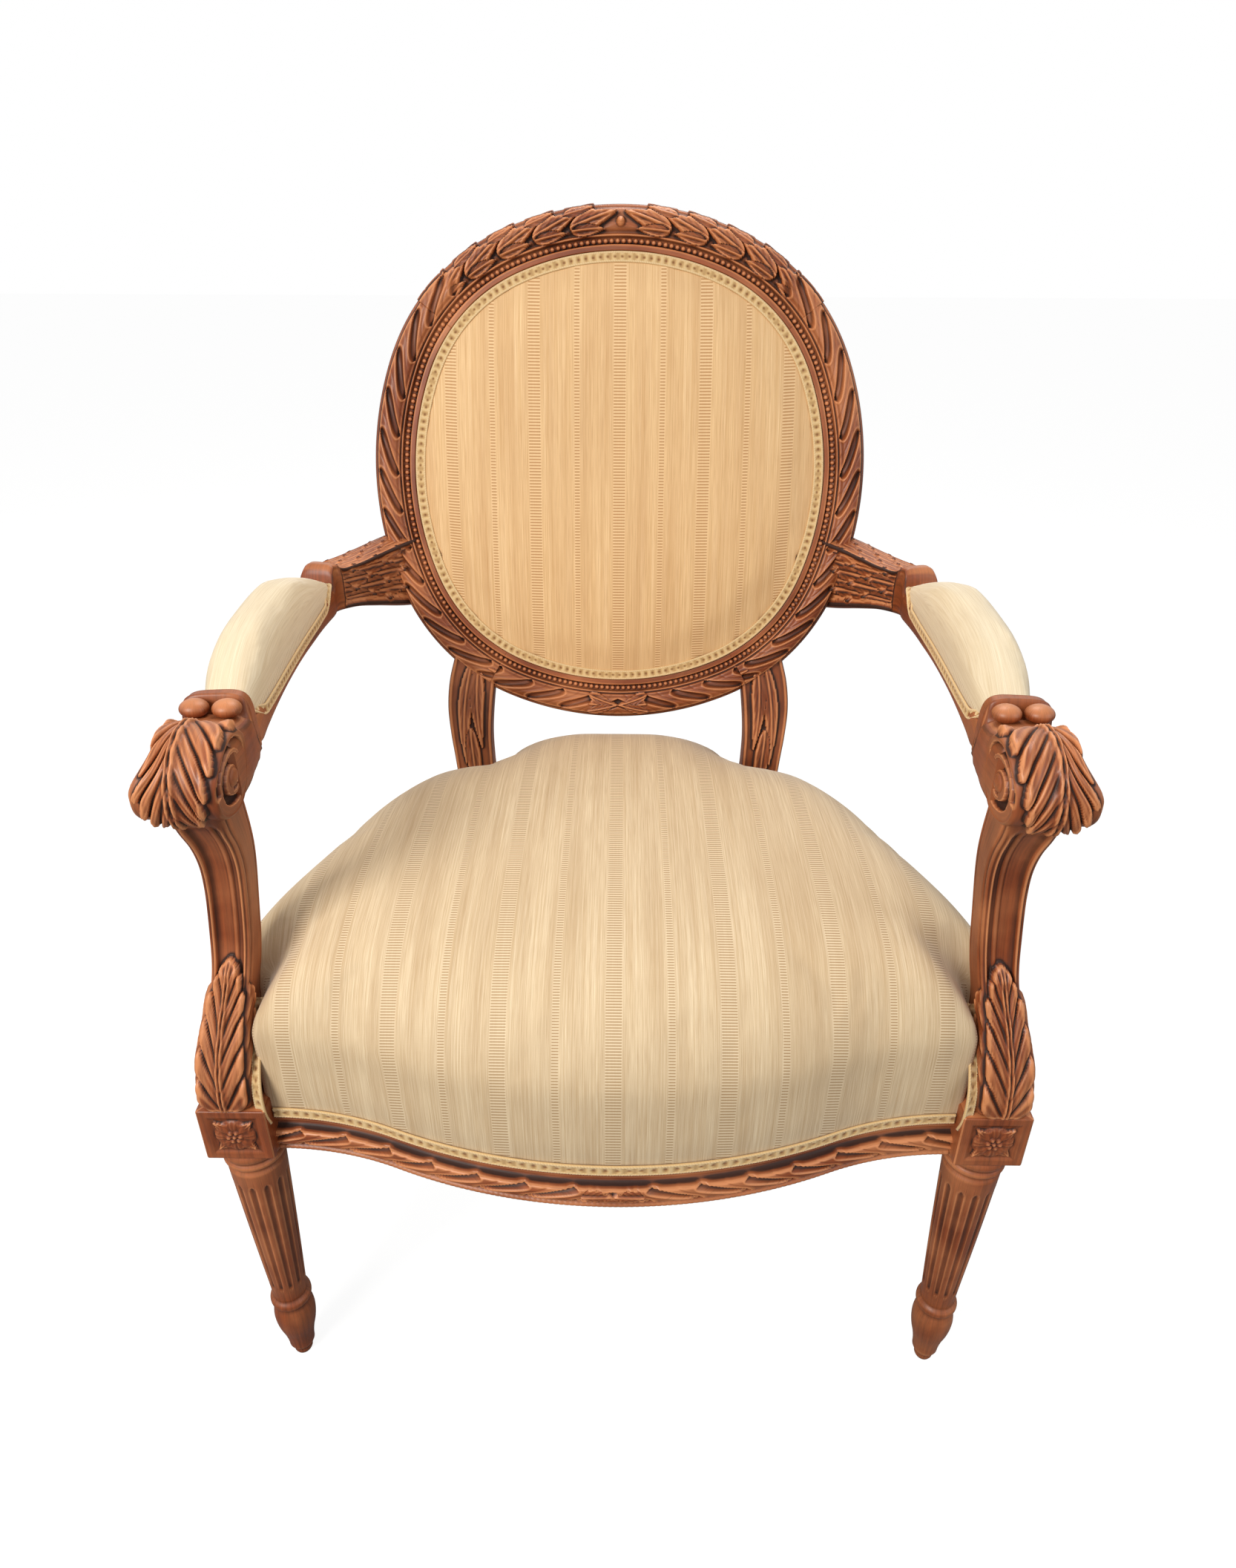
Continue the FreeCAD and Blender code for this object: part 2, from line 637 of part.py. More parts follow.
def arm_wood():
    """The right arm, sawn to a side view and to a plan, with the volute at its front."""
    low, top, wide = float(arm_low), float(size("arm_top")), float(size("arm_wide"))
    half, scroll = float(size("arm_half")), float(size("scroll_half"))
    deep, high = float(size("scroll_depth")), top
    radius, broad = float(size("scroll_radius")), float(size("scroll_wide"))
    root, tall = top - float(size("root_drop")), float(size("root_tall"))
    front = float(size("pad_front")) - float(size("clear"))
    back = float(size("pad_back")) + float(size("clear"))
    join = oval_depth + (root - float(size("oval_height"))) * math.tan(recline) + 22
    rear = join + 40
    collar = float(size("collar_rise"))
    side = face([
        (deep, high - radius + 1),
        (deep + 40, low - 4, front, low),
        (back - 10, low),
        (back + 36, low - 2, join, root - tall / 2),
        (rear, root - tall / 2 - 8),
        (rear, root + tall / 2 + 8),
        (join, root + tall / 2),
        (back + 46, root + tall * 0.36, back + 8, top + 16),
        (back + 7, top + 20),
        (back, top + 20),
        (back, top),
        (front, top),
        (front, top + collar - 3),
        (front - 8, top + collar),
        (deep + 20, high + radius - 2, deep, high + radius - 1),
    ], across_x).extrude(V(BEYOND, 0, 0))
    edge = float(size("oval_wide"))
    plan = face([
        (scroll - broad / 2 + 2, deep - 2),
        (scroll + broad / 2 - 2, deep - 2),
        (scroll + broad / 2 - 3, deep + 30),
        (half + wide / 2 - 7, front + 10, half + wide / 2, front + 90),
        (half + wide / 2 + 2, back - 110, half + wide / 2 - 6, back - 34),
        (half + 4, back + 10, edge + 16, join - 28),
        (edge - 60, join + 62),
        (edge - 90, join + 30),
        (edge - 16, join - 44),
        (half - 34, back + 12, half - wide / 2 - 3, back - 14),
        (half - wide / 2 + 1, back - 80, half - wide / 2, back - 150),
        (half - wide / 2 - 2, front + 60, scroll - wide / 2 + 2, front - 20),
    ], flat).extrude(V(0, 0, BEYOND))
    drum = Part.makeCylinder(radius, broad, V(scroll - broad / 2, deep, high), V(1, 0, 0))
    proud = 2
    eye = Part.makeCylinder(float(size("eye_radius")), broad + 2 * proud,
                            V(scroll - broad / 2 - proud, deep, high), V(1, 0, 0))
    sunk = 1.5
    inner = volute().extrude(V(sunk + 1, 0, 0))
    inner.translate(V(scroll - broad / 2 - 1, deep, high))
    outer = volute().extrude(V(sunk + 1, 0, 0))
    outer.translate(V(scroll + broad / 2 - sunk, deep, high))
    prism = oval.plate(0, -80, 80)
    prism.Placement = medallion
    behind = box([-BEYOND, -BEYOND, -200], [BEYOND, BEYOND, 4 - float(size("frame_back"))])
    behind.Placement = medallion
    arm = side.common(plan).fuse(drum).cut([prism, behind, inner, outer]).fuse(eye)
    return max(arm.Solids, key=lambda solid: solid.Volume)


def arm_post():
    """The right arm post: an S-curved bracket from the leg block up to the scroll."""
    foot, wide = float(size("post_half")), float(size("post_wide"))
    base = float(size("block_high"))
    scroll, high = float(size("scroll_half")), float(size("arm_top"))
    deep = float(size("scroll_depth"))
    rise = high - base
    head, near, far = scroll - 2, -24.0, 31.0

    def up(part):
        return base + rise * part

    side = face([
        (near, base),
        (near, up(0.05)),
        (near + 7, up(0.16), near + 24, up(0.29)),
        (deep + 12, up(0.44), deep + 13, up(0.58)),
        (deep + 11, up(0.72), deep - 3, up(0.84)),
        (deep - 12, up(0.93)),
        (deep + 30, up(0.93)),
        (deep + 42, up(0.78), deep + 46, up(0.62)),
        (deep + 46, up(0.45), far + 11, up(0.29)),
        (far + 7, up(0.15), far, up(0.05)),
        (far, base),
    ], across_x).extrude(V(BEYOND, 0, 0))
    front = face([
        (foot - wide / 2, base),
        (foot + wide / 2, base),
        (foot + wide / 2, up(0.06)),
        (foot + wide / 2 - 8, up(0.24), foot + wide / 2 - 14, up(0.48)),
        (head + wide / 2 - 3, up(0.70), head + wide / 2 - 1, up(0.95)),
        (head - wide / 2 + 1, up(0.95)),
        (head - wide / 2 + 5, up(0.70), foot - wide / 2 - 7, up(0.48)),
        (foot - wide / 2 - 1, up(0.24), foot - wide / 2, up(0.06)),
    ], across_y).extrude(V(0, BEYOND, 0))
    return side.common(front).fuse(tenon(*post_tenon))


def pad_form(inset):
    """The stuffed form on the right arm, drawn in by an inset: sides in plan, crown in side view."""
    low, crown = float(pad_hem), float(pad_crown) - inset
    front, back = float(size("pad_front")) + inset, float(size("pad_back")) - inset
    reach = float(size("pad_wide")) / 2 - inset
    half, near = float(size("arm_half")), float(size("scroll_half")) + 4
    plan = face([
        (near - reach + 3, front),
        (near + reach, front),
        (half + reach - 3, front + 50, half + reach, front + 120),
        (half + reach + 1, back - 100, half + reach - 5, back - 36),
        (half + reach - 10, back - 16, half + 9, back),
        (half - reach + 5, back),
        (half - reach - 1, back - 60, half - reach, back - 140),
        (half - reach - 3, front + 60, near - reach + 3, front),
    ], flat).extrude(V(0, 0, 2 * BEYOND))
    side = face([
        (front, low),
        (back, low),
        (back, crown - 14),
        (back - 8, crown - 5, back - 30, crown - 2),
        ((front + back) / 2, crown + 1, front + 34, crown - 1),
        (front + 9, crown - 4, front, crown - 12),
    ], across_x).extrude(V(BEYOND, 0, 0))
    # The crown across the pad: a long barrel that follows the arm.
    barrel = reach * 1.25
    round_top = Part.makeCylinder(barrel, 2 * BEYOND, V(half - 5, -BEYOND, crown + 2 - barrel), V(0, 1, 0))
    belly = box([0, -BEYOND, low - 20], [BEYOND, BEYOND, crown - 20])
    return side.common(plan).common(round_top.fuse(belly))


def arms():
    """Arms, posts, pads, covers and braid, made for the right side and mirrored."""
    arm = arm_wood()
    gap = float(size("clear"))
    post = arm_post().cut(arm)
    post = max(post.Solids, key=lambda solid: solid.Volume)
    core = pad_form(float(size("cloth")) + gap).cut(arm)
    core = max(core.Solids, key=lambda solid: solid.Volume)
    skin = pad_form(0).cut([pad_form(float(size("cloth"))), arm])
    skin = max(skin.Solids, key=lambda solid: solid.Volume)
    low = float(pad_hem)
    hem = box([0, 0, low], [BEYOND, BEYOND, low + float(size("gimp_wide"))])
    braid = pad_form(-float(size("gimp_thick")) - 0.1).cut([pad_form(-0.1), arm]).common(hem)
    for name, shape in (("arm", arm), ("arm_post", post), ("arm_pad", core),
                        ("arm_cover", skin), ("arm_gimp", Part.makeCompound(braid.Solids))):
        keep(name + "_right", shape)
        keep(name + "_left", mirrored(shape))


def side_arc():
    """The bowed outside of the right-hand side of the seat, in plan."""
    start = V(float(side_front), float(block_half), 0)
    end = V(float(side_back), rear_front, 0)
    along = end.sub(start)
    out = V(along.y, -along.x, 0).normalize()
    chord, bow = along.Length, float(size("side_bow"))
    radius = (chord ** 2 / 4 + bow ** 2) / (2 * bow)
    centre = start.add(V(along).multiply(0.5)).sub(V(out).multiply(radius - bow))
    spread = math.degrees(math.asin(chord / 2 / radius)) + 4
    facing = math.degrees(math.atan2(out.y, out.x))
    return [(centre.x, centre.y, radius, facing - spread, facing + spread, 1)]


def seat_solid(profile):
    """A block cut to one profile along its front, sides and back.

    The profile runs from the outside of the rails up and inwards to the crown. The four
    cuts meet in mitres at the corners, as the cloth is folded there.
    """
    low, crown = profile[0][-1], profile[-1][-1]
    rim = -60.0
    section = [(rim, low - 1), (profile[0][0], low - 1)] + profile
    section += [(profile[-1][-2], crown + 20), (rim, crown + 20)]
    half = float(rail_end)
    swell, hollow = front_arcs()[1:]
    swell = (swell[0], swell[1], swell[2], 269.0) + swell[4:]
    front = moulding(section, [swell, hollow])
    side = moulding(section, side_arc())
    ends = face(section, lambda u, w: V(half, float(rail_front) + u, w)).extrude(V(400, 0, 0))
    rear = face(section, lambda u, w: V(-10, float(seat_back) - u, w)).extrude(V(600, 0, 0))
    block = box([0, float(rail_swell) - 20, low],
                [float(side_front) + 20, float(seat_back) + 20, crown])
    for cutter in (front, ends, side, rear):
        block = block.cut(cutter)
    return block.fuse(mirrored(block)).removeSplitter()


def seat_plate(inset, low, high):
    """A level plate with the plan of the seat."""
    half, end = float(rail_end), float(rail_front)
    back = float(seat_back)
    turn = 2 * math.atan(float(size("rail_bow")) / half)
    hollow = 0.37 * half / math.sin(turn)
    swell = 0.63 * half / math.sin(turn)
    front = float(rail_swell)
    bend_x = swell * math.sin(turn)
    bend_y = front + swell * (1 - math.cos(turn))
    x, y, radius, start, stop, side = side_arc()[0]
    widest = x + radius - inset
    points = [(-half, end + inset)]
    middle_y = end - hollow + (hollow + inset) * math.cos(turn / 2)
    points.append((-half + (hollow + inset) * math.sin(turn / 2), middle_y,
                   -bend_x + inset * math.sin(turn), bend_y + inset * math.cos(turn)))
    points.append((0, front + inset, bend_x - inset * math.sin(turn), bend_y + inset * math.cos(turn)))
    points.append((half - (hollow + inset) * math.sin(turn / 2), middle_y, half, end + inset))
    points.append((float(side_front) + 40, end + inset))
    points.append((float(side_front) + 40, back - inset))
    points.append((-float(side_front) - 40, back - inset))
    points.append((-float(side_front) - 40, end + inset))
    plan = face(points, lambda u, w: V(u, w, low)).extrude(V(0, 0, high - low))
    barrel = Part.makeCylinder(radius - inset, high - low, V(x, y, low))
    return plan.common(barrel).common(mirrored(barrel))


def seat_profile(inset):
    """Profile of the stuffed seat: a swelling wall, a rolled edge and a long crown."""
    low, roll = float(show_top) + 0.5, float(size("seat_roll"))
    crown, swell = float(size("seat_crown")) - inset, float(size("seat_bulge"))
    lift = crown - roll
    wall = roll - low
    return [
        (1.5 + inset, low),
        (1.5 + inset, low + 12),
        (inset - swell, roll - wall * 0.42),
        (2, roll - wall * 0.10),
        (16, roll + lift * 0.12),
        (80, crown - lift * 0.26),
        (170, crown),
    ]


def core_profile(inset):
    """The same profile in straight lines, for what the cover hides."""
    low, roll = float(show_top) - 1, float(size("seat_roll"))
    crown = float(size("seat_crown")) - inset
    top, hem = float(size("block_high")), 5 - float(size("clear"))
    lift = crown - roll
    return [
        (hem, low),
        (hem, top + 1),
        (1.6 + inset, top + 4),
        (1.6 + inset, roll - 14 - inset),
        (19 + inset, roll - 1 - inset),
        (84, crown - 1 - lift * 0.26),
        (170, crown - 1),
    ]


def low_notches(play):
    """What the seat leaves free round the leg blocks."""
    low, top, away = float(size("rail_low")) - 5, float(size("block_high")), BEYOND
    deep = float(block_half) + play
    cuts = [
        box([float(rail_end) - play, -away, low], [away, deep, top + play]),
        box([rear_inner - play, rear_front - play, low], [away, away, top + play]),
    ]
    return cuts + [mirrored(cut) for cut in cuts]


def high_notches(play):
    """What the seat leaves free round the arm posts and the stiles."""
    top, high, away = float(size("block_high")), float(size("seat_crown")) + 60, BEYOND
    inner = float(size("post_half")) - float(size("post_wide")) / 2
    behind = float(size("scroll_depth")) + 46 + play
    waist = float(rear_half) - float(size("stile_wide")) / 2 - 8 - play
    cuts = [
        box([inner - 4 - play, -away, top], [away, behind, high]),
        box([inner - 8 - play, -away, top + 80], [away, behind, high]),
        box([waist, rear_front - 6 - play, top], [away, away, high]),
    ]
    return cuts + [mirrored(cut) for cut in cuts]


def seat_upholstery():
    """Webbing, hessian, stuffing, cover, braid and the cloth under the seat."""
    gap, cloth = float(size("clear")), float(size("cloth"))
    top, thick = float(size("block_high")), float(size("web_thick"))
    wide = float(size("web_wide"))
    cuts = low_notches(gap) + high_notches(gap)
    free = low_notches(gap) + high_notches(2 * gap + cloth)
    whole = seat_solid(seat_profile(0)).cut(cuts)
    cover = whole.cut(seat_solid(core_profile(cloth)).cut(high_notches(gap + cloth)))
    keep("seat_cover", max(cover.Solids, key=lambda solid: solid.Volume))
    first = top + gap
    straps = []
    reach = 2
    for index in range(-reach, reach + 1):
        x = index * wide * 1.9
        straps.append(box([x - wide / 2, -BEYOND, first], [x + wide / 2, BEYOND, first + thick]))
    for index in range(4):
        y = 40 + index * wide * 1.9
        straps.append(box([-BEYOND, y - wide / 2, first + thick],
                          [BEYOND, y + wide / 2, first + 2 * thick]))
    plan = seat_plate(13, first, first + 2 * thick).cut(free)
    web = straps[0].fuse(straps[1:]).common(plan)
    keep("seat_webbing", max(web.Solids, key=lambda solid: solid.Volume))
    level = first + 2 * thick + gap
    hessian = seat_plate(9, level, level + thick).cut(free)
    keep("seat_hessian", max(hessian.Solids, key=lambda solid: solid.Volume))
    above = box([-BEYOND, -BEYOND, level + thick + gap], [BEYOND, BEYOND, BEYOND])
    stuffing = seat_solid(core_profile(cloth + gap)).common(above).cut(free)
    keep("seat_stuffing", max(stuffing.Solids, key=lambda solid: solid.Volume))
    low = float(show_top) + 0.4
    braid_high, braid = float(size("gimp_wide")), float(size("gimp_thick"))
    strip = seat_plate(1.2 - braid, low, low + braid_high).cut(
        [seat_plate(1.2, low - 1, low + braid_high + 1)] + cuts)
    keep("seat_gimp", Part.makeCompound(strip.Solids))
    base = float(size("rail_low"))
    under = seat_plate(14, base - 1.0, base).cut(free)
    keep("seat_dust_cloth", max(under.Solids, key=lambda solid: solid.Volume))


def back_upholstery():
    """Webbing, hessian, stuffing, cover and braid of the inside back, and the outside back."""
    gap, cloth = float(size("clear")), float(size("cloth"))
    edge, ledge = float(size("frame_face")), -float(size("rebate_deep"))
    thick, wide = float(size("web_thick")), float(size("web_wide"))
    plan = stack([oval.ring(edge + 4, ledge + gap + level) for level in (0, 2 * thick)])
    straps = []
    for index in range(-2, 3):
        at = index * wide * 1.4
        straps.append(box([at - wide / 2, -BEYOND, ledge + gap],
                          [at + wide / 2, BEYOND, ledge + gap + thick]))
        straps.append(box([-BEYOND, at - wide / 2, ledge + gap + thick],
                          [BEYOND, at + wide / 2, ledge + gap + 2 * thick]))
    web = straps[0].fuse(straps[1:]).common(plan)
    keep("back_webbing", max(web.Solids, key=lambda solid: solid.Volume), medallion)
    level = ledge + gap + 2 * thick + 0.1
    hessian_thick = 0.8
    keep("back_hessian", stack([oval.ring(edge + 3, level), oval.ring(edge + 3, level + hessian_thick)]),
         medallion)
    crown = float(size("back_crown"))
    braid_wide, braid = float(size("gimp_wide")), float(size("gimp_thick"))
    floor = level + hessian_thick + 0.1
    hem = floor + cloth + 3 * gap

    def dome(inset, base):
        """Rings of a swelling panel: an upright edge, a flat hem for the braid, a crown."""
        drop = inset - gap
        slope = [(0, 0), (braid_wide + 1, 0), (braid_wide + 4, 0.34), (45, 0.78), (100, 0.95), (150, 1)]
        rings = [oval.ring(edge + inset, base)]
        for away, part in slope:
            rings.append(oval.ring(edge + inset + away, hem - drop + crown * part))
        return stack(rings)

    keep("back_cover", dome(gap, floor).cut(dome(gap + cloth, floor - 1)), medallion)
    keep("back_stuffing", dome(2 * gap + cloth, floor), medallion)

    def braid_ring(outside, base):
        """A flat band of braid round the medallion."""
        band = stack([oval.ring(outside, base), oval.ring(outside, base + braid)])
        inside = outside + braid_wide - gap
        return band.cut(stack([oval.ring(inside, base - 1), oval.ring(inside, base + braid + 1)]))

    keep("back_gimp", braid_ring(edge + gap, hem + gap), medallion)
    rear = -float(size("frame_back"))
    tuck = frame_inner - 9
    bulge = float(size("outback_crown"))
    start = rear - gap - 1
    keep("outside_back_cover", stack([oval.ring(tuck, rear - gap), oval.ring(tuck, start),
                                      oval.ring(tuck + 50, start - bulge * 0.8),
                                      oval.ring(tuck + 120, start - bulge)]), medallion)
    keep("outside_back_gimp", braid_ring(tuck - braid_wide, rear - gap - braid), medallion)


def corner_blocks():
    """Glue blocks in the four corners of the seat frame."""
    low, tall = float(size("rail_low")) + 6, 40.0
    gap = 0.2

    def level(u, w):
        return V(u, w, low)

    x, y, radius, start, end, side = side_arc()[0]

    def rail_inside(depth):
        return x + math.sqrt((radius - float(size("rail_thick")) - gap) ** 2 - (depth - y) ** 2)

    against = float(rail_front) + float(size("rail_thick")) + 1.5
    leg_face, reach = float(block_half) + gap, 30.0
    front = face([(float(rail_end) - 44, against), (float(rail_end) - gap, against),
                  (float(rail_end) - gap, leg_face), (rail_inside(leg_face), leg_face),
                  (rail_inside(leg_face + reach), leg_face + reach)], level)
    front = front.extrude(V(0, 0, tall))
    against = float(seat_back) - float(size("rail_thick")) - gap
    leg_face = rear_front - gap
    rear = face([(rear_inner - 46, against), (rear_inner - gap, against), (rear_inner - gap, leg_face),
                 (rail_inside(leg_face), leg_face), (rail_inside(leg_face - reach), leg_face - reach)], level)
    rear = rear.extrude(V(0, 0, tall))
    for corner, name in ((front, "front"), (rear, "rear")):
        keep("corner_block_%s_right" % name, corner)
        keep("corner_block_%s_left" % name, mirrored(corner))


front_legs()
rear_legs()
back_rails()
seat_rails()
arms()
seat_upholstery()
back_upholstery()
corner_blocks()

doc.recompute()
for thing in doc.Objects:
    if "Invalid" in thing.State or "Error" in thing.State:
        raise RuntimeError("%s failed: %s" % (thing.Name, thing.State))
os.makedirs("parts", exist_ok=True)
for thing in made:
    shape = thing.Shape
    if shape.isNull() or not shape.isValid():
        raise RuntimeError("%s has no valid shape" % thing.Label)
    shape.exportStep("parts/%s.step" % thing.Label)
    print("%-26s %d solid(s) %10.0f mm3" % (thing.Label, len(shape.Solids), shape.Volume))
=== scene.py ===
# %% [markdown]
# An open armchair with an oval padded back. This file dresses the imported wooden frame: it carves
# the mouldings, turns the legs, stuffs and covers the seat, back and arms, and lights the result.
# Every new surface is a grid of points worked out with numpy, so each shape is a formula.

# %% Frame and shared numbers
import bpy
import math
import numpy as np
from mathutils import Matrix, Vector


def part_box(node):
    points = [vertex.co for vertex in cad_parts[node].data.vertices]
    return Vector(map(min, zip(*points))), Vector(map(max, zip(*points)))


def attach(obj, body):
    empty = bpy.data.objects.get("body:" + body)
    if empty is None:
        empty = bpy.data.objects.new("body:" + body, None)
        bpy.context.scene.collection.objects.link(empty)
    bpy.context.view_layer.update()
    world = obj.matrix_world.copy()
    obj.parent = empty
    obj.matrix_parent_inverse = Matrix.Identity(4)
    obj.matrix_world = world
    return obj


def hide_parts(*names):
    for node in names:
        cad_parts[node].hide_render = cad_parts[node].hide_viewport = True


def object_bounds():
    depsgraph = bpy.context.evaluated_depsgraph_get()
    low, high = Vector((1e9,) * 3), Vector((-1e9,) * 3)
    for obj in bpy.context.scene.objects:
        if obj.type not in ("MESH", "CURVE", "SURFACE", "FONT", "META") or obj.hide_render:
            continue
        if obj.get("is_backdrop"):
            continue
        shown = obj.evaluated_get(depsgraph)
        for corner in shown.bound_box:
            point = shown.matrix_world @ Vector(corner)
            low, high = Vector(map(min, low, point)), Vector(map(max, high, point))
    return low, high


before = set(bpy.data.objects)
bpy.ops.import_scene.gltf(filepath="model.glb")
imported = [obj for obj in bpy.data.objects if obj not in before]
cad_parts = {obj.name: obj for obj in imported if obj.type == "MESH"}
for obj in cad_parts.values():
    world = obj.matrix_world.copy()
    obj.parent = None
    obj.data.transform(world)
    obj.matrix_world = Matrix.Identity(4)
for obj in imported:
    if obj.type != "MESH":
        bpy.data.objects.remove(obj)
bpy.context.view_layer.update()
leg_low, leg_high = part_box("front_leg_right")
AXIS_Y = 500 * (leg_low.y + leg_high.y)
print("front leg axis at y = %.2f mm, record of %d nodes" % (AXIS_Y, len(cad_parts)))

# %% [markdown]
# All shapes are worked out in millimetres from the axis of the front legs, because that is how a
# chair maker measures. One helper turns a grid of points into a mesh: it joins the last column to
# the first where the shape is closed, caps open ends, turns the faces outwards, and stores a UV map
# in metres and a relief value that later tells the finish what is rubbed, where to paint shade and where to
# paint a highlight.

# %% Grid to mesh
def ease(x, low, high):
    """A smooth step: 0 below low, 1 above high, 3t^2 - 2t^3 between."""
    t = np.clip((x - low) / (high - low), 0, 1)
    return t * t * (3 - 2 * t)


def lerp(a, b, t):
    """The mix (1 - t) a + t b."""
    return a + (b - a) * t


def run_along(x, y):
    """Length along a line of points, from 0 at the first."""
    return np.concatenate([[0], np.cumsum(np.hypot(np.diff(x), np.diff(y)))])


def stacked(*parts):
    """Grids of coordinates, spread to one size, as one grid of points."""
    return np.stack(np.broadcast_arrays(*parts), -1)


def grid_mesh(name, points, close_u=False, close_v=False, caps=False, uv=None, relief=None):
    """Quads between neighbours of an n by m grid of points; u runs down rows and v along columns."""
    n, m = points.shape[:2]
    at = np.arange(n * m).reshape(n, m)
    rows = np.vstack([at, at[:1]]) if close_u else at
    rows = np.hstack([rows, rows[:, :1]]) if close_v else rows
    quads = np.stack([rows[:-1, :-1], rows[:-1, 1:], rows[1:, 1:], rows[1:, :-1]], -1).reshape(-1, 4)
    flat = points.reshape(-1, 3)
    a, b, c, d = (flat[quads[:, k]] for k in range(4))
    middle = flat.mean(0)
    volume = (np.cross(b - a, c - a) * (a - middle)).sum() + (np.cross(c - a, d - a) * (a - middle)).sum()
    if volume < 0:
        quads = quads[:, ::-1]
    loops, starts, totals = quads.ravel(), np.arange(len(quads)) * 4, np.full(len(quads), 4)
    if caps:
        for ring, first in ((at[0], True), (at[-1], False)):
            turned = ring if first == (volume < 0) else ring[::-1]
            starts = np.append(starts, len(loops))
            totals = np.append(totals, m)
            loops = np.concatenate([loops, turned])
    mesh = bpy.data.meshes.new(name)
    mesh.vertices.add(n * m)
    mesh.vertices.foreach_set("co", ((flat + [0, AXIS_Y, 0]) * 0.001).ravel())
    mesh.loops.add(len(loops))
    mesh.loops.foreach_set("vertex_index", loops.astype(np.int32))
    mesh.polygons.add(len(starts))
    mesh.polygons.foreach_set("loop_start", starts.astype(np.int32))
    mesh.polygons.foreach_set("loop_total", totals.astype(np.int32))
    mesh.polygons.foreach_set("use_smooth", np.ones(len(starts), bool))
    mesh.update(calc_edges=True)
    if uv is None:
        uv = stacked(np.arange(rows.shape[0])[:, None] * 2.0, np.arange(rows.shape[1])[None, :] * 2.0)
    corner = np.stack([uv[:-1, :-1], uv[:-1, 1:], uv[1:, 1:], uv[1:, :-1]], 2).reshape(-1, 4, 2)
    if volume < 0:
        corner = corner[:, ::-1]
    layer = mesh.uv_layers.new(name="UVMap")
    padding = len(loops) - corner.shape[0] * 4
    values = np.concatenate([corner.reshape(-1, 2), np.zeros((padding, 2))]) * 0.001
    layer.data.foreach_set("uv", values.astype(np.float32).ravel())
    tone = mesh.attributes.new("relief", "FLOAT", "POINT")
    tone.data.foreach_set("value", np.broadcast_to(
        0.5 if relief is None else relief, (n, m)).astype(np.float32).ravel())
    mesh.validate()
    return mesh


def place(name, mesh, material, replaces=()):
    """A finished piece on the chair's one body."""
    thing = bpy.data.objects.new(name, mesh)
    bpy.context.scene.collection.objects.link(thing)
    mesh.materials.append(material)
    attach(thing, "root")
    if replaces:
        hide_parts(*replaces)
    return thing


def mirrored(points):
    """The grid on the other side of the chair."""
    return points * np.array([-1, 1, 1])


def join(meshes, name):
    """Several meshes as one, with their UV maps and relief values."""
    parts = [bpy.data.objects.new(name, mesh) for mesh in meshes]
    for part in parts:
        bpy.context.scene.collection.objects.link(part)
    with bpy.context.temp_override(active_object=parts[0], selected_editable_objects=parts,
                                   selected_objects=parts, object=parts[0]):
        bpy.ops.object.join()
    mesh = parts[0].data
    bpy.data.objects.remove(parts[0])
    mesh.name = name
    return mesh

# %% [markdown]
# Every finish is a small network of shader nodes. These helpers make a node, link its inputs or set
# them, and hand back its output, so a network reads like a formula.

# %% Shader nodes
def srgb(red, green, blue):
    """A screen colour, 0 to 255, as the linear values that shaders take."""
    c = np.array([red, green, blue]) / 255
    return tuple(np.where(c <= 0.04045, c / 12.92, ((c + 0.055) / 1.055) ** 2.4)) + (1.0,)


def group(name, ins, outs):
    """An empty shader node group with named sockets; a number in ins is a default value."""
    tree = bpy.data.node_groups.new(name, "ShaderNodeTree")
    for label, value in ins:
        kind = "NodeSocketColor" if isinstance(value, tuple) and len(value) == 4 else "NodeSocketFloat"
        if value == "vector":
            kind = "NodeSocketVector"
        socket = tree.interface.new_socket(label, in_out="INPUT", socket_type=kind)
        if kind != "NodeSocketVector":
            socket.default_value = value
    for label, kind in outs:
        tree.interface.new_socket(label, in_out="OUTPUT", socket_type="NodeSocket" + kind)
    return tree, tree.nodes.new("NodeGroupInput"), tree.nodes.new("NodeGroupOutput")


def node(tree, kind, inputs=(), **settings):
    """A node with its settings, its inputs linked or set."""
    made = tree.nodes.new("ShaderNode" + kind)
    for key, value in settings.items():
        setattr(made, key, value)
    for key, value in dict(inputs).items():
        if isinstance(value, bpy.types.NodeSocket):
            tree.links.new(value, made.inputs[key])
        else:
            made.inputs[key].default_value = value
    return made


def maths(tree, operation, a, b=0.0, c=0.0):
    """One arithmetic node."""
    made = node(tree, "Math", {0: a, 1: b, 2: c}, operation=operation)
    return made.outputs[0]


def blend(tree, factor, a, b):
    """Two colours mixed."""
    made = node(tree, "Mix", data_type="RGBA")
    for key, value in (("Factor_Float", factor), ("A_Color", a), ("B_Color", b)):
        socket = next(item for item in made.inputs if item.identifier == key)
        if isinstance(value, bpy.types.NodeSocket):
            tree.links.new(value, socket)
        else:
            socket.default_value = value
    return next(item for item in made.outputs if item.identifier == "Result_Color")


def ramp(tree, factor, stops):
    """A colour ramp as a list of (position, grey)."""
    made = node(tree, "ValToRGB", {"Fac": factor})
    while len(made.color_ramp.elements) < len(stops):
        made.color_ramp.elements.new(0.5)
    for element, (position, grey) in zip(made.color_ramp.elements, stops):
        element.position, element.color = position, (grey, grey, grey, 1)
    return made.outputs["Color"]


def part_of(tree, factor, stops, most):
    """A colour ramp that rises to at most this share."""
    return maths(tree, "MULTIPLY", ramp(tree, factor, stops), most)


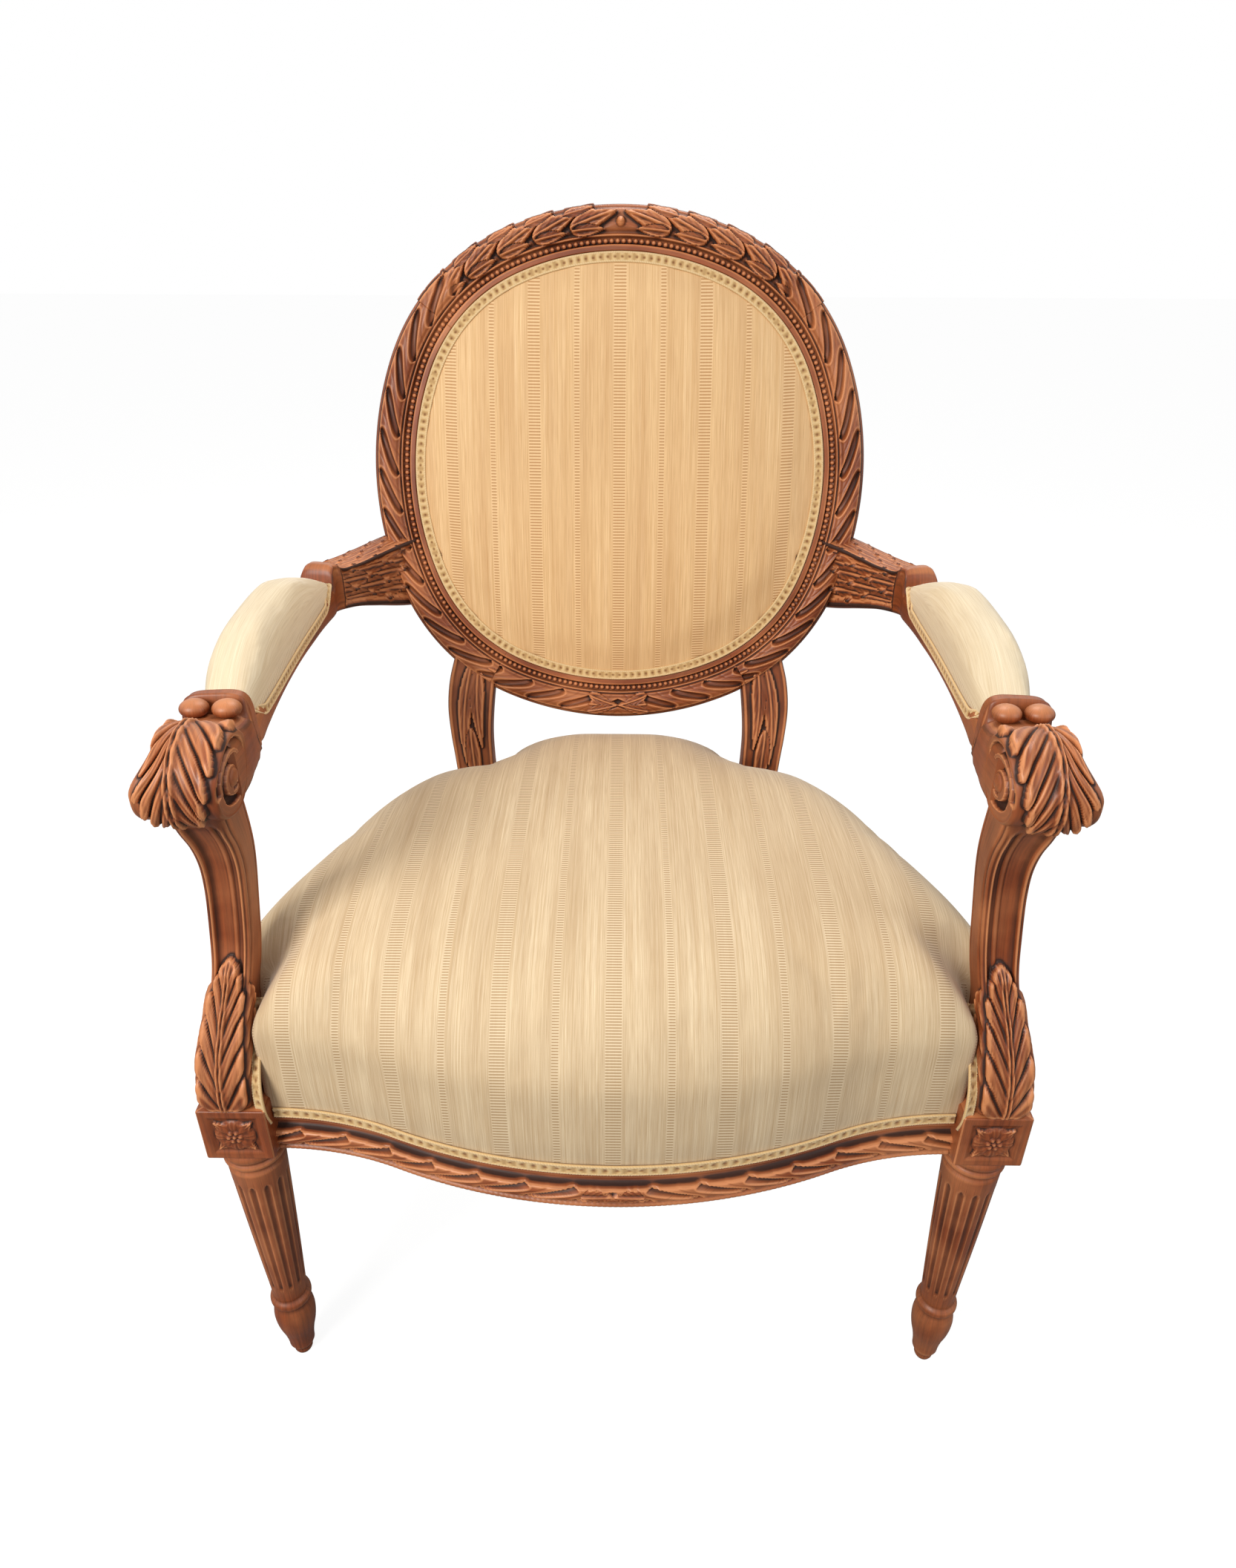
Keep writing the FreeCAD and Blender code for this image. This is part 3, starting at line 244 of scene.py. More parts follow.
def noise(tree, where, stretch, detail, rough=0.5):
    """Noise on a map that is stretched by one scale for each direction."""
    laid = node(tree, "Mapping", {"Vector": where, "Scale": stretch})
    made = node(tree, "TexNoise", {"Vector": laid.outputs[0], "Scale": 1.0, "Detail": detail,
                                   "Roughness": rough})
    return made.outputs[0]

# %% [markdown]
# The photograph was taken close to the chair with a wide lens, from a little above its top. The
# camera stands where the measured points of the picture say. A large soft lamp from the upper left,
# a weak one from the right and one from above and behind give the even light of a plain studio.

# %% Camera, lamps and floor
scene = bpy.context.scene
scene.view_settings.view_transform = "Standard"
lens = bpy.data.cameras.new("photo_camera")
camera = bpy.data.objects.new("photo_camera", lens)
scene.collection.objects.link(camera)
scene.camera = camera
FOCAL_PX, FRAME_HIGH, SENSOR_WIDE = 1400.0, 2114.0, 36.0
MIDDLE_OFF_X, MIDDLE_OFF_Y = 4.9, -35.1
EYE_X, EYE_AHEAD, EYE_Z = 0.00397, 585.54, 0.98761
LOOK_DOWN, ROLL, PAN = 29.71, -0.17, 0.53
lens.sensor_fit, lens.sensor_width = "AUTO", SENSOR_WIDE
lens.lens = FOCAL_PX * SENSOR_WIDE / FRAME_HIGH
lens.shift_x, lens.shift_y = MIDDLE_OFF_X / FRAME_HIGH, MIDDLE_OFF_Y / FRAME_HIGH
lens.clip_start, lens.clip_end = 0.05, 30
camera.rotation_mode = "XYZ"
camera.location = (EYE_X, (AXIS_Y - EYE_AHEAD) * 0.001, EYE_Z)
camera.rotation_euler = (math.radians(90 - LOOK_DOWN), math.radians(ROLL), math.radians(PAN))


def lamp(name, place_at, aim, side, watts, tint):
    """A square soft lamp that faces a point."""
    light = bpy.data.lights.new(name, "AREA")
    light.shape, light.size, light.energy, light.color = "SQUARE", side, watts, tint
    thing = bpy.data.objects.new(name, light)
    scene.collection.objects.link(thing)
    thing.location = place_at
    thing.rotation_euler = (Vector(aim) - Vector(place_at)).to_track_quat("-Z", "Y").to_euler()


CHAIR_MIDDLE = (0, 0, 0.5)
lamp("key_lamp", (-1.3, -1.8, 1.9), CHAIR_MIDDLE, 0.9, 52, (1.0, 0.96, 0.90))
lamp("fill_lamp", (1.9, -1.2, 1.5), CHAIR_MIDDLE, 1.2, 9, (0.96, 0.98, 1.0))
lamp("top_lamp", (0.2, 0.9, 2.4), CHAIR_MIDDLE, 1.0, 20, (1.0, 0.98, 0.95))
WHITE = (1, 1, 1, 1)
ROOM_LIGHT = 0.42
world = bpy.data.worlds.new("studio")
scene.world = world
world.use_nodes = True
sky = world.node_tree
room = sky.nodes["Background"]
room.inputs["Color"].default_value = WHITE
room.inputs["Strength"].default_value = ROOM_LIGHT
# The camera's own rays, mirrored ones and those through clear things meet plain white.
backdrop = node(sky, "Background", {"Color": WHITE, "Strength": 1.0})
ray = node(sky, "LightPath").outputs
seen = maths(sky, "MAXIMUM", ray["Is Camera Ray"], ray["Is Transmission Ray"])
seen = maths(sky, "MAXIMUM", ray["Is Glossy Ray"], seen)
both = node(sky, "MixShader", {0: seen, 1: room.outputs[0], 2: backdrop.outputs[0]})
sky.links.new(both.outputs[0], sky.nodes["World Output"].inputs["Surface"])

FLOOR_HALF = 9
FLOOR_GREY, FLOOR_LIFT = 0.25, 0.70
GLOW, GLOW_SHARE = 1.12, 0.80
corners = [(x * FLOOR_HALF, y * FLOOR_HALF, 0) for x, y in ((-1, -1), (1, -1), (1, 1), (-1, 1))]
floor_mesh = bpy.data.meshes.new("floor")
floor_mesh.from_pydata(corners, [], [(0, 1, 2, 3)])
floor = bpy.data.objects.new("floor", floor_mesh)
scene.collection.objects.link(floor)
floor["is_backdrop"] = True
pale = bpy.data.materials.new("pale_floor")
pale.use_nodes = True
floor_mesh.materials.append(pale)
floor_tree = pale.node_tree
floor_shader = floor_tree.nodes["Principled BSDF"]
floor_shader.inputs["Roughness"].default_value = 0.8
floor_shader.inputs["Specular IOR Level"].default_value = 0.1
seen = node(floor_tree, "LightPath").outputs["Is Camera Ray"]
# To the light that goes round the room the floor is a darker one, which keeps the underside dark.
floor_tone = maths(floor_tree, "MULTIPLY_ADD", seen, FLOOR_LIFT, FLOOR_GREY)
floor_tree.links.new(floor_tone, floor_shader.inputs["Base Color"])
# The camera sees a fifth of the lit floor and plain white for the rest, so shadows stay but pale.
glow = node(floor_tree, "Emission", {"Color": WHITE, "Strength": GLOW})
share = maths(floor_tree, "MULTIPLY", seen, GLOW_SHARE)
floor_mix = node(floor_tree, "MixShader", {0: share, 1: floor_shader.outputs[0], 2: glow.outputs[0]})
floor_tree.links.new(floor_mix.outputs[0], floor_tree.nodes["Material Output"].inputs["Surface"])

# %% [markdown]
# The wood is stained a warm red brown and waxed. The high edges are painted lighter, part rubbed polish
# and part painted highlight, and the hollows darker, part dust and dark stain and part painted shade, so
# the colour follows the carved relief. Grain and pores are stretched noise along the length of each
# piece. Since every wooden finish needs this, it is one node group.

# %% Wood finish
wood_group, given, result = group("waxed_wood", [
    ("Length Map", "vector"), ("Relief", 0.5), ("Dark", srgb(58, 26, 15)), ("Middle", srgb(140, 70, 38)),
    ("Light", srgb(196, 118, 70))],
    [("Color", "Color"), ("Roughness", "Float"), ("Height", "Float")])
t = wood_group
length_map, relief = given.outputs["Length Map"], given.outputs["Relief"]
dark, middle, light = (given.outputs[label] for label in ("Dark", "Middle", "Light"))
grain = noise(t, length_map, (9, 260, 1), 6.0, 0.62)
pores = noise(t, length_map, (60, 1500, 1), 3.0)
spot = node(t, "TexCoord").outputs["Object"]
clouds = node(t, "TexNoise", {"Vector": spot, "Scale": 14.0, "Detail": 4.0}).outputs[0]
fine = node(t, "TexNoise", {"Vector": spot, "Scale": 240.0, "Detail": 2.0}).outputs[0]
# Painted light: the relief value with some noise paints a highlight in the light colour on high edges and
# shade in the dark colour in hollows, mixed with rubbed polish and dust.
edge = maths(t, "ADD", relief, maths(t, "MULTIPLY", maths(t, "SUBTRACT", clouds, 0.5), 0.35))
low = ramp(t, edge, [(0.16, 1), (0.48, 0)])
high = ramp(t, edge, [(0.56, 0), (0.88, 1)])
body = blend(t, ramp(t, grain, [(0.34, 0), (0.68, 1)]), middle, blend(t, 0.55, middle, dark))
body = blend(t, part_of(t, clouds, [(0.4, 0), (0.75, 1)], 0.35), body, light)
body = blend(t, maths(t, "MULTIPLY", high, 0.72), body, light)
body = blend(t, maths(t, "MULTIPLY", low, 0.94), body, dark)
body = blend(t, part_of(t, pores, [(0.56, 0), (0.72, 1)], 0.35), body, dark)
t.links.new(body, result.inputs["Color"])
rough = maths(t, "ADD", maths(t, "MULTIPLY", clouds, 0.22), maths(t, "MULTIPLY", low, 0.25))
t.links.new(maths(t, "ADD", rough, 0.32), result.inputs["Roughness"])
bumps = maths(t, "ADD", maths(t, "MULTIPLY", grain, 0.5), maths(t, "MULTIPLY", pores, 0.35))
t.links.new(maths(t, "ADD", bumps, maths(t, "MULTIPLY", fine, 0.15)), result.inputs["Height"])


def wood(name, carved=True, middle=(150, 74, 35), light=(228, 152, 100), dark=(36, 14, 7)):
    """A wooden finish; a carved one reads the relief stored in the mesh."""
    made = bpy.data.materials.new(name)
    made.use_nodes = True
    tree = made.node_tree
    shader = tree.nodes["Principled BSDF"]
    tone = tree.nodes.new("ShaderNodeGroup")
    tone.node_tree = wood_group
    where = node(tree, "TexCoord")
    if carved:
        tree.links.new(where.outputs["UV"], tone.inputs["Length Map"])
        relief = node(tree, "Attribute", attribute_name="relief")
        tree.links.new(relief.outputs["Fac"], tone.inputs["Relief"])
    else:
        tree.links.new(where.outputs["Object"], tone.inputs["Length Map"])
    for label, colour in (("Middle", middle), ("Light", light), ("Dark", dark)):
        tone.inputs[label].default_value = srgb(*colour)
    bump = node(tree, "Bump", {"Height": tone.outputs["Height"], "Distance": 0.00035, "Strength": 0.5})
    tree.links.new(tone.outputs["Color"], shader.inputs["Base Color"])
    tree.links.new(tone.outputs["Roughness"], shader.inputs["Roughness"])
    tree.links.new(bump.outputs[0], shader.inputs["Normal"])
    shader.inputs["Coat Weight"].default_value = 0.08
    shader.inputs["Coat Roughness"].default_value = 0.3
    shader.inputs["Specular IOR Level"].default_value = 0.4
    return made


carved_wood = wood("carved_wood")
plain_wood = wood("plain_wood", carved=False, middle=(172, 128, 84), light=(200, 160, 116),
                  dark=(110, 74, 44))
rail_wood = wood("rail_wood", carved=False)

# %% [markdown]
# The frame of the back is an oval of eight tangent arcs, sawn from four pieces and moulded on its
# face. Points on it are given by the direction of the outline's normal, by the distance in from the
# outer edge and by the height over the face. The back leans, so these are turned into the chair's
# own directions at the end.

# %% Outline of the back
OVAL_WIDE, OVAL_HIGH, CORNER_R, CORNER_OUT = 247.5, 250.5, 203.0, 37.0
LEAN = math.radians(13.5)
BACK_Y, BACK_Z = 463.0, 715.0
CORNER_UP = CORNER_OUT + OVAL_HIGH - OVAL_WIDE
SPARE = OVAL_WIDE - CORNER_OUT
SIDE_R = (SPARE ** 2 + CORNER_UP ** 2 - CORNER_R ** 2) / (2 * (SPARE - CORNER_R))
END_R = (SPARE ** 2 + CORNER_OUT ** 2 - CORNER_R ** 2) / (2 * (SPARE - CORNER_R))
LOW_BREAK = math.atan2(CORNER_UP, CORNER_OUT - OVAL_WIDE + SIDE_R)
HIGH_BREAK = math.atan2(CORNER_UP - OVAL_HIGH + END_R, CORNER_OUT)


def on_oval(turn, inset):
    """Outline point: centre of the arc at that normal + (radius - inset) * (cos, sin); radians."""
    c, s = np.cos(turn), np.sin(turn)
    q = np.arctan2(np.abs(s), np.abs(c))
    side, end = q < LOW_BREAK, q > HIGH_BREAK
    cx = np.where(side, OVAL_WIDE - SIDE_R, np.where(end, 0, CORNER_OUT)) * np.sign(c)
    cy = np.where(side, 0, np.where(end, OVAL_HIGH - END_R, CORNER_UP)) * np.sign(s)
    r = np.where(side, SIDE_R, np.where(end, END_R, CORNER_R)) - inset
    return cx + r * c, cy + r * s


def on_back(x, up, rise):
    """A point of the back's plane, lifted off its face towards the sitter."""
    x, up, rise = np.broadcast_arrays(x, up, rise)
    return np.stack([x, BACK_Y + up * math.sin(LEAN) - rise * math.cos(LEAN),
                     BACK_Z + up * math.cos(LEAN) + rise * math.sin(LEAN)], -1)


TURNS = np.radians(np.linspace(-180, 540, 14401))
RUN_X, RUN_Y = on_oval(TURNS, 16.0)
RUN = run_along(RUN_X, RUN_Y)
RUN -= np.interp(math.pi / 2, TURNS, RUN)


def run_of(degrees):
    """Length along the middle of the ribbon band, counted from the top of the back."""
    return np.interp(np.radians(degrees), TURNS, RUN)


def turn_of(run):
    """The direction at a length along the band."""
    return np.interp(run, RUN, TURNS)


def curve(x, *knots):
    """A smooth curve through (x, y) knots: cubic pieces with the mean of neighbouring slopes."""
    kx, ky = np.array([k[0] for k in knots], float), np.array([k[1] for k in knots], float)
    slope = np.gradient(ky, kx)
    flat = np.diff(ky) == 0
    slope[:-1][flat] = 0
    slope[1:][flat] = 0
    x = np.clip(x, kx[0], kx[-1])
    i = np.clip(np.searchsorted(kx, x, side="right") - 1, 0, len(kx) - 2)
    gap = kx[i + 1] - kx[i]
    t = (x - kx[i]) / gap
    return ((2 * t ** 3 - 3 * t ** 2 + 1) * ky[i] + (t ** 3 - 2 * t ** 2 + t) * gap * slope[i]
            + (3 * t ** 2 - 2 * t ** 3) * ky[i + 1] + (t ** 3 - t ** 2) * gap * slope[i + 1])


def bump_at(x, middle, half):
    """A round hill: sqrt(1 - t^2) inside the half width, 0 outside."""
    t = (x - middle) / half
    return np.sqrt(np.clip(1 - t * t, 0, 1))


def blur(grid, times):
    """Each value averaged with its neighbours, several times over."""
    for _ in range(times):
        wide = np.pad(grid, 1, mode="edge")
        grid = (wide[:-2, 1:-1] + wide[2:, 1:-1] + wide[1:-1, :-2] + wide[1:-1, 2:]
                + 2 * wide[1:-1, 1:-1]) / 6
    return grid


def wear_and_painted_light(height, reach=10, depth=1.1):
    """Wear and painted light from relief: high beside its surroundings is polished and painted as a
    highlight, low is dark as dust and painted shade; 0.5 is plain.
    """
    return np.clip(0.5 + (height - blur(height, reach)) / depth, 0, 1)


def normals(points):
    """Unit normals of a grid: the cross product of its two directions."""
    down, along = np.gradient(points, axis=0), np.gradient(points, axis=1)
    n = np.cross(down, along)
    return n / np.maximum(np.linalg.norm(n, axis=-1, keepdims=True), 1e-9)


def carve(points, height, outward):
    """The grid moved along its normals by the relief; outward is +1 or -1."""
    return points + normals(points) * (outward * height)[..., None]

# %% [markdown]
# The carver's two motifs on the back are a twisted ribbon on the sides and overlapping laurel
# leaves at the top. Both are heights over the flat face: the ribbon is a row of leaning swells
# parted by pointed hollows, and a leaf is a dome with a midrib, cut off at a pointed outline.

# %% Carved motifs
def ribbon(run, across, period, lean, hollow=0.15):
    """Twisted ribbon, 0 to 1: across is -1 to 1 over the band; the hollows are almonds.

    phase = run / period - lean * across; a pit exp(-(away / width)^4) lies at every whole phase, with
    a width that closes at the band's edges, and the ribbon swells between two pits.
    """
    phase = run / period - lean * (across + 0.12 * np.sin(math.pi * across))
    away = np.abs(phase - np.round(phase))
    width = hollow * np.clip(1 - (across / 0.86) ** 2, 0.0, 1) ** 0.6 + 1e-3
    pit = np.exp(-(away / width) ** 4) * (np.abs(across) < 0.86)
    seam = np.exp(-(away / 0.030) ** 2)
    swell = np.sqrt(np.clip(1 - ((0.5 - away) / 0.56) ** 2, 0, 1))
    rim = np.exp(-((away - width * 1.25 - 0.02) / 0.03) ** 2)
    vein = np.exp(-((away - 0.5) / 0.035) ** 2)
    return (0.50 + 0.46 * swell + 0.12 * rim - 0.10 * vein) * (1 - 0.95 * pit) * (1 - 0.45 * seam)


def leaf(along, across, length, width, height, veins=0.0, lobes=0, curl=0.0):
    """A leaf's height, -1 outside it: along runs 0 to length, across is signed.

    The half width is width * sin(pi * t^0.75)^0.8, notched between lobes; the body is a dome with
    raised rims and a midrib, and side veins lean towards the tip.
    """
    t = np.clip(along / length, 0, 1)
    half = width * np.clip(np.sin(math.pi * t ** 0.75), 0, 1) ** 0.8 * (1 - 0.25 * t) + 1e-6
    if lobes:
        half = half * (0.80 + 0.26 * np.abs(np.sin(math.pi * lobes * (t - 0.10 * np.abs(across) / width))))
    e = across / half
    inside = (along > 0) & (along < length) & (np.abs(e) < 1)
    dome = 0.62 + 0.38 * np.sqrt(np.clip(1 - e ** 2, 0, 1))
    rib = 0.34 * np.exp(-(across / (0.11 * width + 0.45)) ** 2) * (1 - 0.7 * t)
    trough = -0.20 * np.exp(-((np.abs(across) - 0.22 * width) / (0.10 * width)) ** 2)
    rim = 0.16 * np.exp(-((np.abs(e) - 0.84) / 0.13) ** 2)
    vein = veins * np.cos(2 * math.pi * (max(lobes, 5) * (t - 0.42 * np.abs(across) / width)))
    value = height * (dome + rib + trough + rim + vein * np.clip(np.abs(e) * 2.2, 0, 1) + curl * t ** 2)
    return np.where(inside, value, -1.0)


def acanthus(along, across, length, width, height, lobes, steep=0.75):
    """A broad acanthus leaf, -1 outside it: full at its base, rounded at its tip, cut into lobes.

    The half width is width * (1 - t^3)^0.5 notched at every lobe; ribs fan out from the base, deep
    cuts lean from the midrib to each notch, the more the larger steep is, and the rims and the
    double midrib stand proud.
    """
    t = np.clip(along / length, 0, 1)
    spread = np.abs(across) / width
    phase = lobes * (t - steep * spread ** 0.8 * (0.45 + 0.55 * t)) + 0.15
    notch = np.abs(np.sin(math.pi * phase))
    half = width * np.sqrt(np.clip(1 - t ** 3, 0, 1)) * (0.74 + 0.26 * notch ** 0.6) + 1e-6
    e = np.abs(across) / half
    inside = (along > 0) & (along < length) & (e < 1)
    small_rib = np.abs(np.sin(math.pi * (2.6 * phase + 0.4 * np.sin(9 * t))))
    fan = 0.75 * notch + 0.35 * small_rib
    slit = np.exp(-((phase - np.round(phase)) / 0.11) ** 2) * np.clip(spread * 2.2 - 0.2, 0, 1)
    rib = 0.40 * np.exp(-((spread - 0.075) / 0.055) ** 2)
    rim = 0.16 * np.exp(-((e - 0.86) / 0.10) ** 2)
    value = 0.52 + 0.26 * fan + rib + rim - 0.62 * slit + 0.25 * t ** 3
    return np.where(inside, height * np.clip(value, 0.04, 2) * ease(length - along, -2, 12), -1.0)


def lay(ground, stamp):
    """A leaf laid over what is there."""
    return np.where(stamp > 0, np.maximum(stamp, ground * 0.35), ground)

# %% [markdown]
# Each of the four pieces of the oval carries the same moulding: a thin outer edge, a rounded band
# for the carving, a bead channel, a fillet and the ledge that takes the tacks. The face is a fine
# grid and the back of the piece a coarse one, closed round the section.

# %% Carved oval frame
BAND_MID, BAND_HALF = 15.5, 11.5
FACE_U = np.concatenate([np.linspace(0, 29, 46), np.linspace(29.5, 42, 22)])
REAR_W = -33.0


def face_profile(u):
    """Height of the plain moulding over the face of the back."""
    return curve(u, (0, -11), (1.2, -8.6), (3, -7.6), (4.2, -6.2), (9, -3.0), (15.5, -1.7), (22, -2.6),
                 (26.6, -4.6), (27.6, -2.7), (28.6, -2.3), (29.4, -4.8), (31, -6.3), (33.2, -6.7),
                 (35.4, -6.3), (36.6, -2.6), (37.2, -2.0), (41.4, -2.0), (42, -2.6))


LEAF_PITCH, LEAF_GROUPS = 37.0, 6
# Each leaf of a group: distance in of its base, tilt, length, half width, height, shift along the run.
CREST_LEAVES = ((20.5, 0.26, 47, 9.0, 7.6, 0.0), (22.5, -0.02, 32, 5.6, 5.2, 14.0),
                (8.0, 0.10, 30, 4.6, 4.6, 22.0))


def crest_leaves(run, u, ground):
    """Laurel leaves that point up to the top of the back, laid from the far end inwards.

    Every 37 mm a broad leaf leans its tip over the outer edge and a small one fills either side.
    """
    away = np.abs(run)
    relief = ground
    for index in reversed(range(LEAF_GROUPS)):
        start = 2.0 + LEAF_PITCH * index
        for base, tilt, long, wide, high, shift in CREST_LEAVES:
            a = start + shift + long - away
            b = u - base
            along = a * math.cos(tilt) - b * math.sin(tilt)
            across = a * math.sin(tilt) + b * math.cos(tilt)
            relief = lay(relief, leaf(along, across, long, wide, high, veins=0.035, curl=0.30))
    knot = 5.0 * bump_at(np.hypot(away, (u - 17) * 0.9), 0, 4.2)
    knot = knot + 1.2 * bump_at(np.hypot(away, u - 17), 0, 1.6)
    return np.maximum(relief, knot)


def frame_relief(run, u, ends):
    """Carving over the plain moulding, for a run from the top of the back."""
    across = (u - BAND_MID) / BAND_HALF
    band = ease(1 - np.abs(across), 0.0, 0.10)
    twist = 6.0 * ribbon(np.abs(run) - 8, across, 38.0, 0.58, 0.25) * band
    if ends == "crest":
        leaves = crest_leaves(run, u, twist * 0.12)
        twist = lerp(leaves, twist, ease(np.abs(run), 168, 184))
    if ends == "lower":
        far = np.abs(np.abs(run) - abs(run_of(270)))
        twist = 5.6 * ribbon(far - 6, -across, 36.0, 0.50, 0.24) * band
        for start, tilt, wide in ((0.0, 0.0, 8.5), (6.0, 0.30, 6.0), (6.0, -0.30, 6.0)):
            a, b = 30 - far + start * 0.3, u - BAND_MID
            twist = lay(twist, leaf(a, b - tilt * (30 - a), 30, wide, 6.4, veins=0.05))
    if ends == "side":
        low = ease(np.abs(run), 640, 655)
        spray = -1.0 + 0 * (run + u)
        for start, base, tilt, wide in ((600, 18, 0.10, 7.5), (628, 12, -0.12, 7.0), (650, 19, 0.12, 7.0)):
            a, b = np.abs(run) - start, u - base
            spray = np.maximum(spray, leaf(60 - a, b - tilt * a, 60, wide, 6.6, veins=0.05, curl=0.2))
        twist = lay(twist * (1 - 0.7 * low), spray)
    grooves = -0.6 * np.exp(-((u - 3.8) / 0.6) ** 2)
    return twist + grooves


def frame_piece(start, end, kind):
    """The grid of one piece of the oval, between two directions in degrees."""
    first, last = run_of(start), run_of(end)
    run = np.linspace(first, last, int(abs(last - first) / 0.95) + 2)
    turn = turn_of(run)[:, None]
    height = face_profile(FACE_U)[None, :] + frame_relief(run[:, None], FACE_U[None, :], kind)
    rest_u = np.array([42.2, 42.2, 54, 54, 53, 40, 20, 2, 0, 0, 0])
    rest_w = np.array([-4.0, -8, -8, -31, REAR_W, REAR_W, REAR_W, REAR_W, REAR_W + 2, -24, -14])
    u = np.concatenate([FACE_U, rest_u])[None, :]
    w = np.concatenate([height, np.broadcast_to(rest_w, (len(run), len(rest_w)))], 1)
    # Where a leaf stands high over the outer edge, it also reaches past it.
    reach = ease(height[:, 8:9], -3.5, 2.0) * 3.2 if kind == "crest" else 0.0
    u = u - reach * np.clip(1 - np.abs(u - 3.0) / 7.0, 0, 1) * (w > -20)
    x, up = on_oval(turn, u)
    tone = np.full(w.shape, 0.5)
    tone[:, :len(FACE_U)] = wear_and_painted_light(height, 14, 3.0)
    flat_u = np.broadcast_to(u, w.shape)
    edge = run_along(flat_u[0], w[0])
    uv = stacked(edge[None, :], run[:, None])
    uv = np.concatenate([uv, uv[:, :1] + [edge[-1] + 4, 0]], 1)
    return on_back(x, up, w), tone, uv[..., ::-1]


def frame_mesh(name, start, end, kind):
    """One piece of the oval as a closed mesh."""
    points, tone, uv = frame_piece(start, end, kind)
    return grid_mesh(name, points, close_v=True, caps=True, uv=uv, relief=tone)


crest = place("crest_carved", frame_mesh("crest", 38, 142, "crest"), carved_wood,
              ["crest_rail"])
lower = place("lower_rail_carved", frame_mesh("lower", 240, 300, "lower"), carved_wood,
              ["back_lower_rail"])
print("crest %d faces, lower rail %d faces" % (len(crest.data.polygons), len(lower.data.polygons)))

# %% [markdown]
# Inside the carved band runs a channel with a row of half balls, all of one size and pitch.

# %% Beads round the back
BEAD_U, BEAD_R, BEAD_PITCH = 33.2, 2.5, 6.1
BALL_RINGS, BALL_SIDES = 5, 8


def bead_mesh(name, start, end):
    """Half balls at an even pitch along the channel, each a small grid closed by its base."""
    count = int(round(abs(run_of(end) - run_of(start)) / BEAD_PITCH))
    run = run_of(start) + (np.arange(count) + 0.5) * (run_of(end) - run_of(start)) / count
    turn = turn_of(run)
    x, up = on_oval(turn, BEAD_U)
    lift = np.linspace(-0.35, math.pi / 2 - 0.01, BALL_RINGS)
    spin = np.linspace(0, 2 * math.pi, BALL_SIDES, endpoint=False)
    px = np.cos(lift)[:, None] * np.cos(spin) * BEAD_R * 0.98
    py = np.cos(lift)[:, None] * np.sin(spin) * BEAD_R * 0.98
    pz = np.sin(lift)[:, None] * BEAD_R + 0 * spin
    cosine, sine = np.cos(turn), np.sin(turn)
    gx = x[:, None, None] + px * cosine[:, None, None] - py * sine[:, None, None]
    gy = up[:, None, None] + px * sine[:, None, None] + py * cosine[:, None, None]
    points = on_back(gx, gy, pz[None] - 4.9)
    meshes = points.reshape(count, BALL_RINGS * BALL_SIDES, 3)
    at = np.arange(BALL_RINGS * BALL_SIDES).reshape(BALL_RINGS, BALL_SIDES)
    ring = np.hstack([at, at[:, :1]])
    quads = np.stack([ring[:-1, :-1], ring[:-1, 1:], ring[1:, 1:], ring[1:, :-1]], -1).reshape(-1, 4)
    offset = np.arange(count)[:, None, None] * (BALL_RINGS * BALL_SIDES)
    faces = (quads[None] + offset).reshape(-1, 4).tolist()
    tops = (at[-1][None] + offset[:, 0]).tolist()
    bases = (at[0][::-1][None] + offset[:, 0]).tolist()
    mesh = bpy.data.meshes.new(name)
    mesh.from_pydata(((meshes.reshape(-1, 3) + [0, AXIS_Y, 0]) * 0.001).tolist(), [], faces + tops + bases)
    mesh.polygons.foreach_set("use_smooth", np.ones(len(mesh.polygons), bool))
    tone = mesh.attributes.new("relief", "FLOAT", "POINT")
    # Each half ball is painted dark round its base as shade and light over its top as a highlight.
    painted_ball_light = 0.15 + 0.75 * np.sin(np.clip(lift, 0, 2))
    level = np.broadcast_to(painted_ball_light[None, :, None], (count, BALL_RINGS, BALL_SIDES))
    tone.data.foreach_set("value", level.astype(np.float32).ravel())
    mesh.uv_layers.new(name="UVMap")
    return mesh


for name, start, end in (("crest_beads", 38, 142), ("lower_beads", 240, 300)):
    place(name, bead_mesh(name, start, end), carved_wood)

# %% [markdown]
# A back leg runs in one piece from the floor to the top joint of the oval: a turned and fluted leg
# raked backwards, a square block for the rails, a stile with two long leaves on its face, and the
# side arc of the oval.

# %% Turned legs
FLUTES = 12
LEG_KNOTS = ((0, 8.6), (1.5, 9.4), (9, 9.8), (10.5, 9.8), (11.2, 12.6), (14, 13.2), (22, 14.2),
             (33, 16.4), (44, 19.4), (54, 21.0), (63, 21.2), (70, 20.0), (75, 18.0), (77, 17.4),
             (78.5, 17.4), (79.2, 18.6), (81, 20.4), (84, 21.2), (87, 20.4), (88.6, 18.6), (89.4, 17.6),
             (93, 17.5))
HEAD_KNOTS = ((270.5, 26.7), (272, 26.0), (273.5, 24.6), (276.5, 24.4), (277.5, 25.2), (279, 26.9),
              (281.5, 27.5), (283.5, 26.6), (284.6, 25.2), (285.6, 24.6), (287, 25.6), (289.5, 27.6),
              (292.5, 28.2), (295.5, 27.4), (297, 26.4), (299, 26.2))


SHAFT_LOW, SHAFT_HIGH = 93.0, 270.5
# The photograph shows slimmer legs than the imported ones, so the radii are taken in by these shares.
FOOT_SHARE, SHAFT_SHARE, HEAD_SHARE = 0.86, 0.88, 0.97


